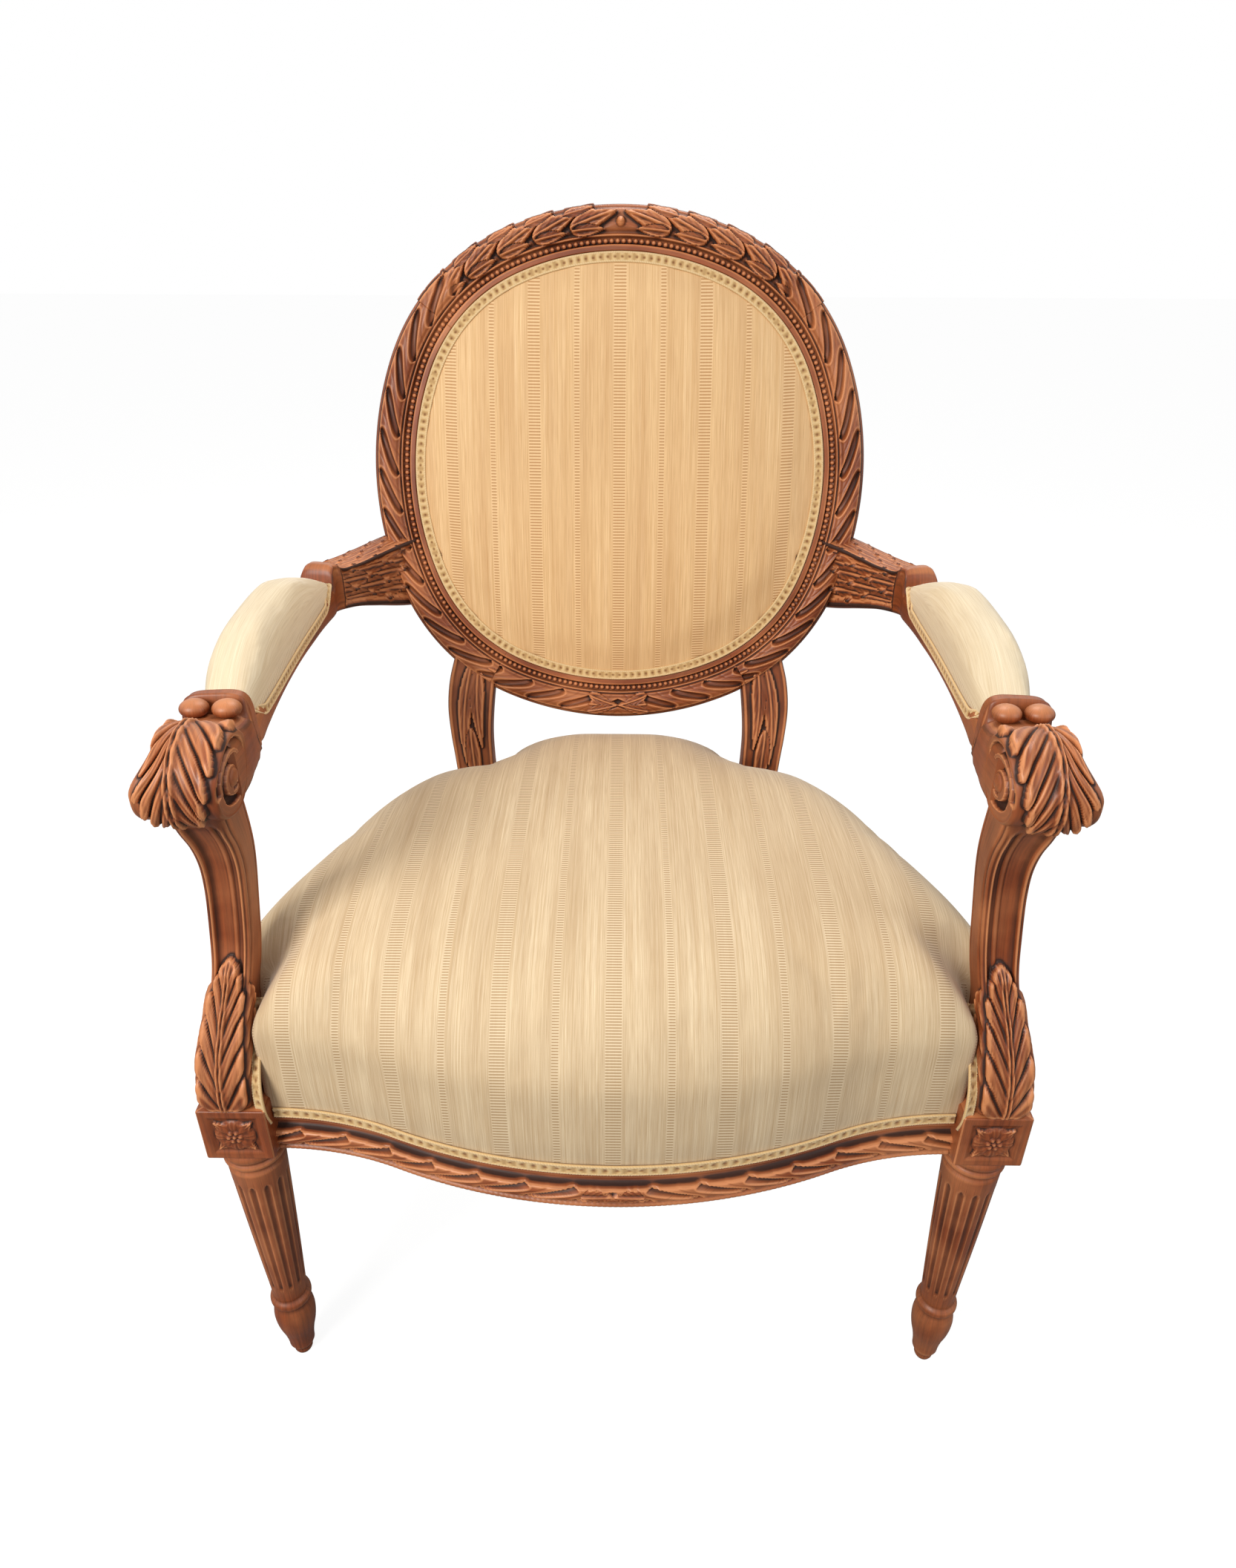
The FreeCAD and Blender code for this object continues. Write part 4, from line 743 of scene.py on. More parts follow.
def leg_radius(z):
    """Turned profile: ball foot, ring, tapering shaft, two rings at the head."""
    t = np.clip((z - SHAFT_LOW) / (SHAFT_HIGH - SHAFT_LOW), 0, 1)
    shaft = (lerp(17.5, 26.7, t) + 0.5 * np.sin(t * math.pi)) * lerp(FOOT_SHARE, SHAFT_SHARE, t)
    foot = curve(z, *LEG_KNOTS) * FOOT_SHARE
    head = curve(z, *HEAD_KNOTS) * lerp(SHAFT_SHARE, HEAD_SHARE, np.clip((z - SHAFT_HIGH) / 24, 0, 1))
    return np.where(z < SHAFT_LOW, foot, np.where(z > SHAFT_HIGH, head, shaft))


def flute_depth(z, spin, radius):
    """Depth of the round-ended channels: each reaches 0.22 of the pitch to either side."""
    pitch = 2 * math.pi / FLUTES
    away = np.abs(spin / pitch - np.round(spin / pitch)) * pitch * radius
    half = 0.22 * pitch * radius
    ends = np.maximum(np.clip(z - (252 - half), 0, None), np.clip(112 + half - z, 0, None)) * 0.35
    t = np.sqrt(away ** 2 + ends ** 2) / half
    return 0.60 * half * np.sqrt(np.clip(1 - t ** 2, 0, 1))


def turned(scale, top, foot):
    """A turned and fluted leg round the z axis; scale thins it and foot runs it down further."""
    z = np.concatenate([np.linspace(0, 78, 36), np.linspace(79, 100, 24), np.linspace(102, 236, 40),
                        np.linspace(238, top, 54)])[:, None]
    spin = np.linspace(0, 2 * math.pi, FLUTES * 12, endpoint=False)[None, :] + math.pi / FLUTES
    radius = leg_radius(z) * scale
    cut = flute_depth(z, spin, radius)
    r = radius - cut
    tone = np.clip(wear_and_painted_light(-cut, 8, 1.6) + 0.5 * (wear_and_painted_light(radius + 0 * spin, 8, 2.0) - 0.5), 0, 1)
    down = z - foot * np.clip(1 - z / 40, 0, 1)
    points = stacked(r * np.cos(spin), r * np.sin(spin), down)
    uv_spin = np.linspace(0, 2 * math.pi * 22, spin.shape[1] + 1)[None, :]
    uv = stacked(uv_spin, z)[..., ::-1]
    return points, tone, uv


def ring_mesh(name, part):
    """A grid that is closed round its columns and capped at both ends."""
    points, tone, uv = part
    return grid_mesh(name, points, close_v=True, caps=True, uv=uv, relief=tone)


def rosette(a, b):
    """A sunk square with a rosette of eight petals in two rows round a button; a, b from its middle."""
    reach = np.maximum(np.abs(a), np.abs(b))
    r, spin = np.hypot(a, b), np.arctan2(b, a)
    sunk = -1.6 * ease(-reach, -20.5, -16.4)
    outer = bump_at(r, 9.8, 6.4) * (0.45 + 0.55 * np.abs(np.cos(4 * spin))) * 3.6
    split = -0.9 * np.exp(-(np.sin(4 * spin) / 0.30) ** 2) * bump_at(r, 9.5, 6.5)
    corner = leaf(r - 4, np.sin(4 * spin) * r * 0.25, 17, 4.6, 2.6) * (np.abs(np.sin(2 * spin)) > 0.5)
    inner = bump_at(r, 4.6, 3.2) * (0.6 + 0.4 * np.abs(np.cos(3 * spin + 0.4))) * 4.4
    button = 4.6 * bump_at(r, 0, 2.6)
    petals = np.maximum(np.maximum(outer + split, np.clip(corner, 0, 9)), np.maximum(inner, button))
    return np.where(reach < 18.0, sunk + petals, sunk)


def block(half, low, top, faces):
    """A square block round the z axis; faces lists the sides that carry a rosette: 0 is -y, 1 is +x."""
    steps = 76
    side = np.linspace(-half, half, steps)
    z = np.concatenate([[low, low + 0.6], np.linspace(low + 1.2, top - 1.2, 66), [top - 0.6, top]])
    soft = np.minimum(np.minimum(z - low, top - z), 1.2)
    pull = (1.2 - np.sqrt(np.clip(1.44 - (1.2 - soft) ** 2, 0, 1.44)))[:, None]
    rows, tones = [], []
    turn_side = ((1, 0, 0, -1), (0, 1, 1, 0), (-1, 0, 0, 1), (0, -1, -1, 0))
    for index, (ax, ay, nx, ny) in enumerate(turn_side):
        a = side[None, :-1]
        b = (z - (low + top) / 2)[:, None]
        relief = rosette(a, b) if index in faces else 0 * (a + b)
        away = half - pull + relief
        round_off = 0.9 * np.clip((np.abs(a) - (half - 1.1)) / 1.1, 0, 1) ** 2
        keep_in = (half - round_off - pull) / half
        along, out = a * keep_in, away - round_off
        rows.append(stacked(along * ax + out * nx, along * ay + out * ny, z[:, None]))
        # The rounded corners are painted lighter too, part rubbed polish and part painted highlight.
        tones.append(np.clip(wear_and_painted_light(relief, 8, 2.0) + 0.30 * (round_off > 0.1), 0, 1))
    points = np.concatenate(rows, 1)
    edge = np.linspace(0, 8 * half, points.shape[1] + 1)
    uv = stacked(edge[None, :], z[:, None])[..., ::-1]
    return points, np.concatenate(tones, 1), uv


def moved(part, shift=(0, 0, 0), turn=None, flip=False):
    """A part turned by a matrix, shifted, and mirrored to the left side when asked."""
    points, tone, uv = part
    if turn is not None:
        points = points @ turn.T
    points = points + np.array(shift)
    return (mirrored(points) if flip else points), tone, uv


def turn_x(angle):
    """The matrix of a turn about the x axis."""
    c, s = math.cos(angle), math.sin(angle)
    return np.array([[1, 0, 0], [0, c, -s], [0, s, c]])


LEG_X, LEG_BLOCK = 297.0, 27.0
for side, flip in (("right", False), ("left", True)):
    shaft = ring_mesh("shaft", moved(turned(1.0, 299, 0), (LEG_X, 0, 0), flip=flip))
    head = ring_mesh("block", moved(block(LEG_BLOCK, 298, 351, (0, 1)), (LEG_X, 0, 0), flip=flip))
    place("front_leg_turned_" + side, join([shaft, head], "front_leg_" + side), carved_wood,
          ["front_leg_" + side])

# %% [markdown]
# The turned part of a back leg is thinner than a front leg and leans back by the rake; its block
# stands upright, and the stile above lies in the plane of the back.

# %% Back legs with their stiles
HIP_X, HIP_Y, HIP_Z, RAKE = 160.0, 400.0, 298.0, math.radians(8)


def stile():
    """The stile in the plane of the back: a closed section with two long leaves on its face."""
    up = np.linspace(-383, -186, 190)[:, None]
    outer = curve(up, (-383, 180), (-352, 175), (-328, 174), (-300, 177), (-270, 181), (-240, 183),
                  (-210, 180), (-186, 174))
    inner = curve(up, (-383, 140), (-352, 136), (-328, 134), (-300, 136), (-276, 137), (-230, 134),
                  (-186, 128))
    across = np.linspace(0, 1, 44)[None, :]
    x = lerp(inner, outer, across)
    a, b = x - (inner + outer) / 2, up + 383
    wide = (outer - inner) / 2
    relief = 1.5 * ease(np.abs(a) / wide, 0.80, 0.86)
    for base, tilt, reach in ((196, 0.05, 118), (192, -0.07, 96), (120, 0.0, 84)):
        along = base - b
        relief = lay(relief, leaf(along, a - tilt * along - 60 * tilt, reach, 8.5, 4.2, veins=0.05,
                                  curl=0.2))
    soft = 2.0 * (np.clip(np.abs(across * 2 - 1) - 0.92, 0, 1) / 0.08) ** 2
    face_w = -7.0 + relief * ease(b, 20, 34) - soft
    side = np.linspace(0, 1, 6)[None, 1:]
    back = np.linspace(0, 1, 8)[None, 1:-1]
    xs = np.concatenate([x, outer + 0 * side, lerp(outer, inner, back), inner + 0 * side[:, :-1], inner], 1)
    ws = np.concatenate([face_w, lerp(face_w[:, -1:], -33.0, side), -33 + 0 * back + 0 * up,
                         lerp(-33.0, face_w[:, :1], side)], 1)
    tone = np.full(xs.shape, 0.5)
    tone[:, :44] = wear_and_painted_light(face_w, 10, 2.2)
    ring = run_along(xs[90], ws[90])
    uv = stacked(np.append(ring, ring[-1] + 1)[None, :], up)[..., ::-1]
    return on_back(xs, up + 0 * xs, ws), tone, uv


for side, flip in (("right", False), ("left", True)):
    rake = turn_x(RAKE)
    foot = np.array([HIP_X, HIP_Y, HIP_Z]) - rake @ np.array([0, 0, HIP_Z])
    shaft = moved(turned(0.88, 301, 3.0), foot, rake, flip)
    shaft[0][..., 2] = np.maximum(shaft[0][..., 2], 0)
    pieces = [ring_mesh("shaft", shaft),
              ring_mesh("block", moved(block(24.0, 295, 351, ()), (HIP_X, HIP_Y, 0), flip=flip)),
              ring_mesh("stile", moved(stile(), flip=flip))]
    start, end = (-60, 38) if not flip else (142, 240)
    pieces.append(frame_mesh("arc", start, end, "side"))
    pieces.append(bead_mesh("beads", start, end))
    place("back_leg_carved_" + side, join(pieces, "back_leg_" + side), carved_wood,
          ["back_leg_" + side])

# %% [markdown]
# The front seat rail is sawn to a serpentine plan: a long swell between two hollows. Its lower half
# shows, with a bead, a band of twisted ribbon, a cove and a fillet; above that the cloth is tacked.
# The side and back rails show only plain wood, so they stay as they came from the workshop drawing
# and get the same finish.

# %% Seat rails
RAIL_HALF, RAIL_END_Y, RAIL_RISE = 270.0, -14.0, 52.0
RAIL_TURN = 2 * math.atan(RAIL_RISE / RAIL_HALF)
RAIL_WHOLE = RAIL_HALF / math.sin(RAIL_TURN)
SWELL_R, HOLLOW_R = 0.63 * RAIL_WHOLE, 0.37 * RAIL_WHOLE


def rail_plan(x):
    """Front line of the seat in plan and its outward normal: a swell between two hollow arcs."""
    x = np.clip(x, -RAIL_HALF, RAIL_HALF)
    a = np.abs(x)
    meet = SWELL_R * math.sin(RAIL_TURN)
    swell_deep = np.sqrt(SWELL_R ** 2 - np.minimum(a, meet) ** 2)
    hollow_deep = np.sqrt(HOLLOW_R ** 2 - (RAIL_HALF - np.maximum(a, meet)) ** 2)
    swell = RAIL_END_Y - RAIL_RISE + SWELL_R - swell_deep
    hollow = RAIL_END_Y - HOLLOW_R + hollow_deep
    y = np.where(a < meet, swell, hollow)
    slope = np.where(a < meet, a / swell_deep, (RAIL_HALF - a) / hollow_deep)
    slope = slope * np.sign(x)
    size = np.sqrt(1 + slope ** 2)
    return y, slope / size, -1 / size


def front_rail_part():
    """The front rail: its face is displaced out of a plain moulding by the ribbon carving."""
    x = np.linspace(-RAIL_HALF - 0.5, RAIL_HALF + 0.5, 640)[:, None]
    z = np.linspace(293.6, 330.6, 62)[None, :]
    y, nx, ny = rail_plan(x)
    run = run_along(x[:, 0], y[:, 0])
    run = (run - run[-1] / 2)[:, None]
    inset = curve(z, (293.6, 2.0), (295.2, 0.4), (297.4, 0.6), (299, 2.6), (300.4, 4.6), (301.6, 3.6),
                  (305, 2.4), (309, 2.0), (313, 2.6), (316, 4.4), (317.2, 6.2), (320, 7.6), (323.4, 7.0),
                  (325.6, 4.6), (326.8, 2.0), (328, 1.5), (330.6, 1.5))
    across = (z - 308.8) / 7.6
    band = ease(1 - np.abs(across), 0.0, 0.15)
    relief = 5.0 * ribbon(np.abs(run) - 10, -across, 38.0, 0.52, 0.26) * band
    middle = leaf(24 - np.abs(run), z - 308.8, 24, 7.6, 4.4, veins=0.05, lobes=3)
    relief = lay(relief, middle)
    pearl = 0.6 * (bump_at(np.mod(run, 4.2), 2.1, 2.1) - 0.6) * bump_at(z, 296.4, 2.2)
    depth = inset - relief - pearl
    rest_in = np.array([1.5, 4.9, 5.0, 28, 28, 28, 8])
    rest_z = np.array([331.0, 331.2, 350.9, 351, 320, 293, 293])
    depth = np.concatenate([depth, np.broadcast_to(rest_in, (len(x), 7))], 1)
    level = np.concatenate([z + 0 * x, np.broadcast_to(rest_z, (len(x), 7))], 1)
    tone = np.full(level.shape, 0.5)
    tone[:, :z.shape[1]] = wear_and_painted_light(-inset + relief + 0 * x, 10, 2.0)
    points = np.stack([x - nx * depth, y - ny * depth, level], -1)
    ring = np.append(run_along(depth[320], level[320]), 140)
    uv = stacked(ring[None, :], run)[..., ::-1]
    return points, tone, uv


place("front_rail_carved", ring_mesh("front_rail", front_rail_part()), carved_wood,
      ["front_rail"])

# %% [markdown]
# Each arm grows out of the oval with rows of small leaves, runs forward under its pad, rises to a
# collar with two egg-shaped bosses, and rolls over in a scroll with an acanthus leaf on its rim and a
# spiral channel on both cheeks. The curved post below stands on the leg block; its face has a deep
# round-ended channel with a raised fillet in it, and a leaf at its foot.

# %% Arms
SCROLL_X, SCROLL_Y, SCROLL_Z, SCROLL_R, SCROLL_W = 281.0, 4.0, 634.0, 33.0, 56.0


def arm_centre(y):
    """Middle of the right arm in plan."""
    return curve(y, (-30, 281), (5, 281), (60, 284), (120, 291), (200, 297), (280, 298), (350, 293),
                 (385, 283), (415, 262), (446, 238), (470, 216))


def superellipse(spin, power):
    """Unit outline |x|^p + |y|^p = 1 at an angle."""
    c, s = np.cos(spin), np.sin(spin)
    r = (np.abs(c) ** power + np.abs(s) ** power) ** (-1 / power)
    return r * c, r * s


def lobed_rows(along, across, pitch, wide, height):
    """Rows of small pointed leaves like roof tiles; each row is shifted by half a leaf."""
    relief = np.zeros(np.broadcast(along, across).shape)
    for row in range(8):
        shift = 0.5 * (row % 2)
        local = np.mod(across / wide + shift, 1.0) - 0.5
        relief = lay(relief, leaf(along - row * pitch, local * wide, pitch * 1.75, wide * 0.52, height,
                                  veins=0.03))
    return relief


def arm_part():
    """The beam of the right arm, from inside the scroll to the back of the oval's frame."""
    y = np.concatenate([np.linspace(10, 96, 90), np.linspace(98, 352, 70), np.linspace(354, 474, 120)])
    y = y[:, None]
    spin = np.linspace(0, 2 * math.pi, 132, endpoint=False)[None, :] - math.pi / 2
    top = curve(y, (10, 664), (30, 661), (48, 654), (62, 651), (69, 652), (70.5, 659.5), (76, 660),
                (83, 660), (84.5, 657), (86, 634), (120, 634), (358, 634), (363, 636), (366, 648),
                (370, 654), (376, 654.5), (384, 650), (400, 649), (420, 651), (446, 655), (474, 660))
    low = curve(y, (10, 604), (30, 604), (50, 605), (84, 606), (354, 606), (380, 604), (400, 601),
                (420, 594), (446, 584), (474, 576))
    wide = curve(y, (10, 53), (30, 53), (50, 50), (84, 47), (120, 46), (300, 46), (350, 42), (366, 36),
                 (374, 35), (400, 33), (430, 32), (474, 30)) / 2
    cx, sz = superellipse(spin, 4.2)
    x = arm_centre(y) + cx * wide
    z = (top + low) / 2 + sz * (top - low) / 2
    slope = np.gradient(arm_centre(y[:, 0]), y[:, 0])[:, None]
    skew = np.sqrt(1 + slope ** 2)
    points = stacked(x + cx * wide * (skew - 1) * 0.9, y - cx * wide * slope / skew * 0.8, z)
    up = ease(sz, 0.80, 0.95)
    inner = ease(-cx, 0.84, 0.95)
    tall = (top - low) / 2
    a = cx * wide
    rear = ease(y, 380, 384)
    tiles = lobed_rows(478 - y, sz * tall + 3, 17.0, 19.0, 6.5) * rear * inner
    tiles = tiles * ease(0.90 - np.abs(sz), 0, 0.05)
    tiles = tiles + 1.6 * np.sqrt(inner) * ease(y, 358, 361) * ease(-y, -382, -379) * ease(sz, -0.9, -0.8)
    tiles = tiles + lobed_rows(474 - y, a, 11.0, 12.0, 2.0) * rear * up * ease(wide - np.abs(a), 3.0, 4.6)
    drop = np.hypot(y - 108, z - 646)
    ahead = ease(drop, 41, 43) * ease(-y, -108, -100)
    tiles = tiles - 2.4 * ahead * inner + 0.9 * np.exp(-((drop - 38) / 1.2) ** 2) * inner * (y < 108)
    edge = 1.0 * bump_at(np.abs(a), wide - 1.2, 1.3) * up * ease(y, 379, 383)
    step = 1.2 * bump_at(y, 372, 6.0) * ease(sz, 0.2, 0.8)
    channel = -1.4 * np.exp(-((sz - 0.15) / 0.12) ** 2) * ease(cx, 0.9, 0.98) * ease(y, 378, 392)
    lead = curve(y, (10, 0), (46, 0), (56, 1), (90, 1), (120, 0.7), (474, 0.5))
    groove = -0.6 * np.exp(-((sz + 0.74) / 0.10) ** 2) * ease(np.abs(cx), 0.9, 0.98)
    groove = groove * lead * ease(-y, -380, -340)
    relief = tiles + edge + step + channel + groove
    tone = wear_and_painted_light(relief, 8, 1.8)
    # The top of the beam is made lighter.
    tone = np.clip(tone + 0.16 * ease(sz, 0.8, 1), 0, 1)
    points = carve(points, relief, 1 if normals(points)[50, 33, 2] > 0 else -1)
    run = run_along(y[:, 0], arm_centre(y[:, 0]))[:, None]
    uv = stacked(run, np.linspace(0, 150, 133)[None, :])
    return points, tone, uv


def scroll_part():
    """The drum of the scroll: from the middle of one cheek over the rim to the other cheek.

    On the cheeks a channel follows r = R - 5.5 - pitch * turns; on the rim lies an acanthus leaf.
    """
    spin = np.linspace(0, 2 * math.pi, 250, endpoint=False)[:, None]
    cheek = np.concatenate([np.linspace(0.2, 5, 6), np.linspace(5.6, 31.5, 46)])
    rim = np.linspace(-1, 1, 72)[1:-1]
    r = np.concatenate([cheek, np.full(len(rim), SCROLL_R), cheek[::-1]])[None, :]
    half = SCROLL_W / 2
    place_x = np.concatenate([np.full(len(cheek), -half), rim * half, np.full(len(cheek), half)])[None, :]
    on_cheek = np.abs(place_x) >= half
    sign = np.sign(place_x)
    round_edge = np.clip((np.abs(place_x) - (half - 3.0)) / 3.0, 0, 1)
    r = np.where(on_cheek, r, SCROLL_R - 1.5 * round_edge ** 2)
    # The drum is drawn in below and in front, and its outer top corner is cut back under the leaf.
    shrink = 1 - 0.24 * ease(-np.sin(spin - math.radians(25)), -0.3, 0.9)
    # The channel starts at the back, under the arm, and turns forward over the top of the drum.
    turns = spin / (2 * math.pi)
    pitch = 11.0
    depth = np.zeros(np.broadcast(spin, r).shape)
    for lap in range(3):
        line = SCROLL_R - 5.5 - pitch * (np.mod(0.5 - turns, 1) + lap)
        reach = np.where(line > 7.5, 1.0, 0.0)
        depth = np.maximum(depth, reach * bump_at(r - line, 0, 4.0) ** 0.7)
    depth = depth * on_cheek
    eye = 2.4 * bump_at(r, 0, 7.0) * on_cheek
    fillet = 0.5 * np.exp(-((r - 30.4) / 0.9) ** 2) * on_cheek
    # Acanthus on the rim: along runs from the collar over the top to the front.
    go = np.mod(spin - math.radians(60), 2 * math.pi)
    along = go * SCROLL_R
    long = math.radians(165) * SCROLL_R
    across = place_x
    fan = acanthus(along, across, long * 1.05, 27.5, 6.2, 7, 0.65)
    fan = np.where(on_cheek, 0, np.clip(fan, 0, None)) * (1 - 0.8 * round_edge)
    out = fan + 0 * spin
    x = SCROLL_X + place_x + sign * on_cheek * (eye + fillet - 5.4 * depth)
    reach = (r + out) * shrink
    height = reach * np.sin(spin)
    x = x - np.where(place_x > 0, 13.0, 3.0) * np.abs(place_x / half) * ease(height, 4, 32)
    points = stacked(x, SCROLL_Y + reach * np.cos(spin), SCROLL_Z + reach * np.sin(spin))
    # The spiral channel is painted darker still, as painted shade in it.
    tone = np.clip(wear_and_painted_light(out + eye - 3.0 * depth, 8, 1.8), 0, 1) - 0.35 * depth
    uv = stacked(spin * SCROLL_R, np.linspace(0, 120, r.shape[1])[None, :])
    uv = np.concatenate([uv, uv[:1] + [2 * math.pi * SCROLL_R, 0]], 0)
    return points, np.clip(tone, 0, 1), uv


def egg(x, y, z, ax, ay, az):
    """A smooth egg: a sphere stretched along three axes."""
    lift = np.linspace(-math.pi / 2 + 0.02, math.pi / 2 - 0.02, 24)[:, None]
    spin = np.linspace(0, 2 * math.pi, 36, endpoint=False)[None, :]
    points = stacked(ax * np.cos(lift) * np.cos(spin), ay * np.cos(lift) * np.sin(spin), az * np.sin(lift))
    points = points + [x, y, z]
    # The egg is painted lighter over its top as a highlight and darker underneath as shade.
    tone = np.broadcast_to(0.62 + 0.25 * np.sin(lift), points.shape[:2])
    return points, tone, None


def post_part():
    """The right arm post: an S-shaped bracket from the leg block to the underside of the scroll."""
    z = np.linspace(351.2, 616, 240)[:, None]
    near = curve(z, (351, -24), (365, -24.5), (380, -22), (396, -17), (415, -9), (433, 0), (455, 10),
                 (475, 16), (515, 18), (555, 13), (575, 6), (592, -3), (616, -12))
    far = curve(z, (351, 31), (365, 31.5), (393, 37), (433, 43), (478, 49), (526, 49), (572, 43), (616, 32))
    outer = curve(z, (351, 319.5), (368, 320), (395, 318), (419, 312), (450, 306), (487, 303.5),
                  (530, 299), (560, 297), (590, 298), (616, 300))
    inner = curve(z, (351, 280.5), (368, 280), (395, 280), (419, 280), (450, 276), (487, 272), (530, 267),
                  (560, 263.5), (590, 261.5), (616, 260))
    spin = np.linspace(0, 2 * math.pi, 168, endpoint=False)[None, :] - math.pi
    cx, sy = superellipse(spin, 7.0)
    x = (outer + inner) / 2 + cx * (outer - inner) / 2
    y = (near + far) / 2 + sy * (far - near) / 2
    points = stacked(x, y, z)
    wide = (outer - inner) / 2
    a = cx * wide
    front = ease(-sy, 0.90, 0.97)
    body = ease(z, 425, 450) * ease(-z, -606, -590)
    ends = np.clip(np.abs(z - 516) - 76, 0, None)
    t = np.hypot(a, ends * 0.6) / (wide * 0.70)
    flute = -5.0 * np.clip(1 - t ** 6, 0, 1) ** 0.6
    flute = flute - 1.6 * np.exp(-((np.abs(a) - wide * 0.86) / 0.8) ** 2)
    spine = 1.5 * bump_at(a, -wide * 0.30, wide * 0.12) * body
    foot = acanthus(z - 353, a, 116, 20.5 - 0.04 * np.clip(z - 353, 0, 130), 5.8, 6, 0.55)
    foot = np.clip(foot, 0, None) * ease(wide - np.abs(a), 0.0, 1.0)
    side_a = sy * (far - near) / 2
    cheek = ease(np.abs(cx), 0.90, 0.97)
    half_deep = (far - near) / 2
    groove = -1.3 * np.exp(-((np.abs(side_a) - (half_deep - 6)) / 1.5) ** 2) * ease(z, 372, 392)
    wing = acanthus(z - 353, side_a + half_deep, 96, 24, 3.6, 5, 0.6)
    wing = np.clip(wing, 0, None)
    relief = front * np.where(foot > 0, foot, flute * body + spine)
    relief = relief + cheek * np.where(wing > 0, wing, groove)
    band = 1.8 * bump_at(z, 356, 4.0)
    relief = np.where(z < 361, np.maximum(relief, band), relief)
    outward = 1 if (normals(points)[150, 0] * [-1, 0, 0]).sum() > 0 else -1
    tone = wear_and_painted_light(relief, 9, 2.0)
    points = carve(points, relief, outward)
    uv = stacked(z, np.linspace(0, 150, 169)[None, :])
    return points, tone, uv


for side, flip in (("right", False), ("left", True)):
    beam = ring_mesh("beam", moved(arm_part(), flip=flip))
    points, tone, uv = moved(scroll_part(), flip=flip)
    drum = grid_mesh("drum", points, close_u=True, uv=uv, relief=tone)
    eggs = [ring_mesh("egg", moved(egg(x, 60, 657, 10.4, 9.5, 6.6), flip=flip)) for x in (272.0, 295.0)]
    place("arm_carved_" + side, join([beam, drum] + eggs, "arm_" + side), carved_wood,
          ["arm_" + side])
    post = ring_mesh("post", moved(post_part(), flip=flip))
    place("arm_post_carved_" + side, post, carved_wood, ["arm_post_" + side])

# %% [markdown]
# The covers are a striped silk, and its warp runs up the back and from the back of the seat to its
# front. Each point of a cover stores where it lies on the cloth, in metres across and along the warp:
# the stripes come from the first, and the fine cross bars of the ribbed bands from the second.
# Threads also lift the surface a little. The braid round the edges is cream and gold, with a row of
# small holes between two cords.

# %% Cloth finishes
cloth_group, given, result = group("striped_silk", [
    ("Weave Map", "vector"), ("Ground", srgb(222, 184, 132)), ("Band", srgb(196, 152, 98)),
    ("Streak", srgb(238, 208, 160)), ("Period", 0.083), ("Shift", 0.0)],
    [("Color", "Color"), ("Roughness", "Float"), ("Height", "Float")])
t = cloth_group
weave_map = given.outputs["Weave Map"]
ground, dim, streak = (given.outputs[label] for label in ("Ground", "Band", "Streak"))
parts = node(t, "SeparateXYZ", {0: weave_map})
u, v = parts.outputs[0], parts.outputs[1]
repeat = maths(t, "DIVIDE", maths(t, "ADD", u, given.outputs["Shift"]), given.outputs["Period"])
cell = maths(t, "FRACT", repeat)


def stripe(centre, half):
    """1 inside a stripe of the repeat, with a soft edge."""
    away = maths(t, "ABSOLUTE", maths(t, "SUBTRACT", cell, centre))
    away = maths(t, "MINIMUM", away, maths(t, "SUBTRACT", 1.0, away))
    return node(t, "MapRange", {"Value": away, "From Min": half, "From Max": half + 0.012, "To Min": 1.0,
                                "To Max": 0.0}).outputs[0]


wide_band, thin_band = stripe(0.0, 0.066), stripe(0.5, 0.026)
band = maths(t, "MAXIMUM", wide_band, thin_band)
warp = noise(t, weave_map, (2600, 30, 1), 3.0)
broad = noise(t, weave_map, (900, 5, 1), 4.0)
slub = noise(t, weave_map, (60, 1500, 1), 2.0)
shade = noise(t, weave_map, (70, 3, 1), 2.0)
RIB_PITCH = 0.0029
rib = maths(t, "SINE", maths(t, "MULTIPLY", v, 2 * math.pi / RIB_PITCH))
rib = maths(t, "ADD", maths(t, "MULTIPLY", rib, 0.5), 0.5)
ladder = maths(t, "MULTIPLY", rib, band)
base = blend(t, ramp(t, broad, [(0.34, 0), (0.70, 1)]), ground, streak)
base = blend(t, part_of(t, warp, [(0.42, 0), (0.7, 1)], 0.46), base, dim)
base = blend(t, part_of(t, shade, [(0.4, 0), (0.66, 1)], 0.30), base, dim)
base = blend(t, maths(t, "MULTIPLY", band, 0.85), base, blend(t, ladder, streak, dim))
t.links.new(base, result.inputs["Color"])
t.links.new(maths(t, "SUBTRACT", 0.74, maths(t, "MULTIPLY", broad, 0.16)), result.inputs["Roughness"])
weave = maths(t, "ADD", maths(t, "MULTIPLY", warp, 0.35), maths(t, "MULTIPLY", slub, 0.30))
t.links.new(maths(t, "ADD", weave, maths(t, "MULTIPLY", ladder, -0.30)), result.inputs["Height"])


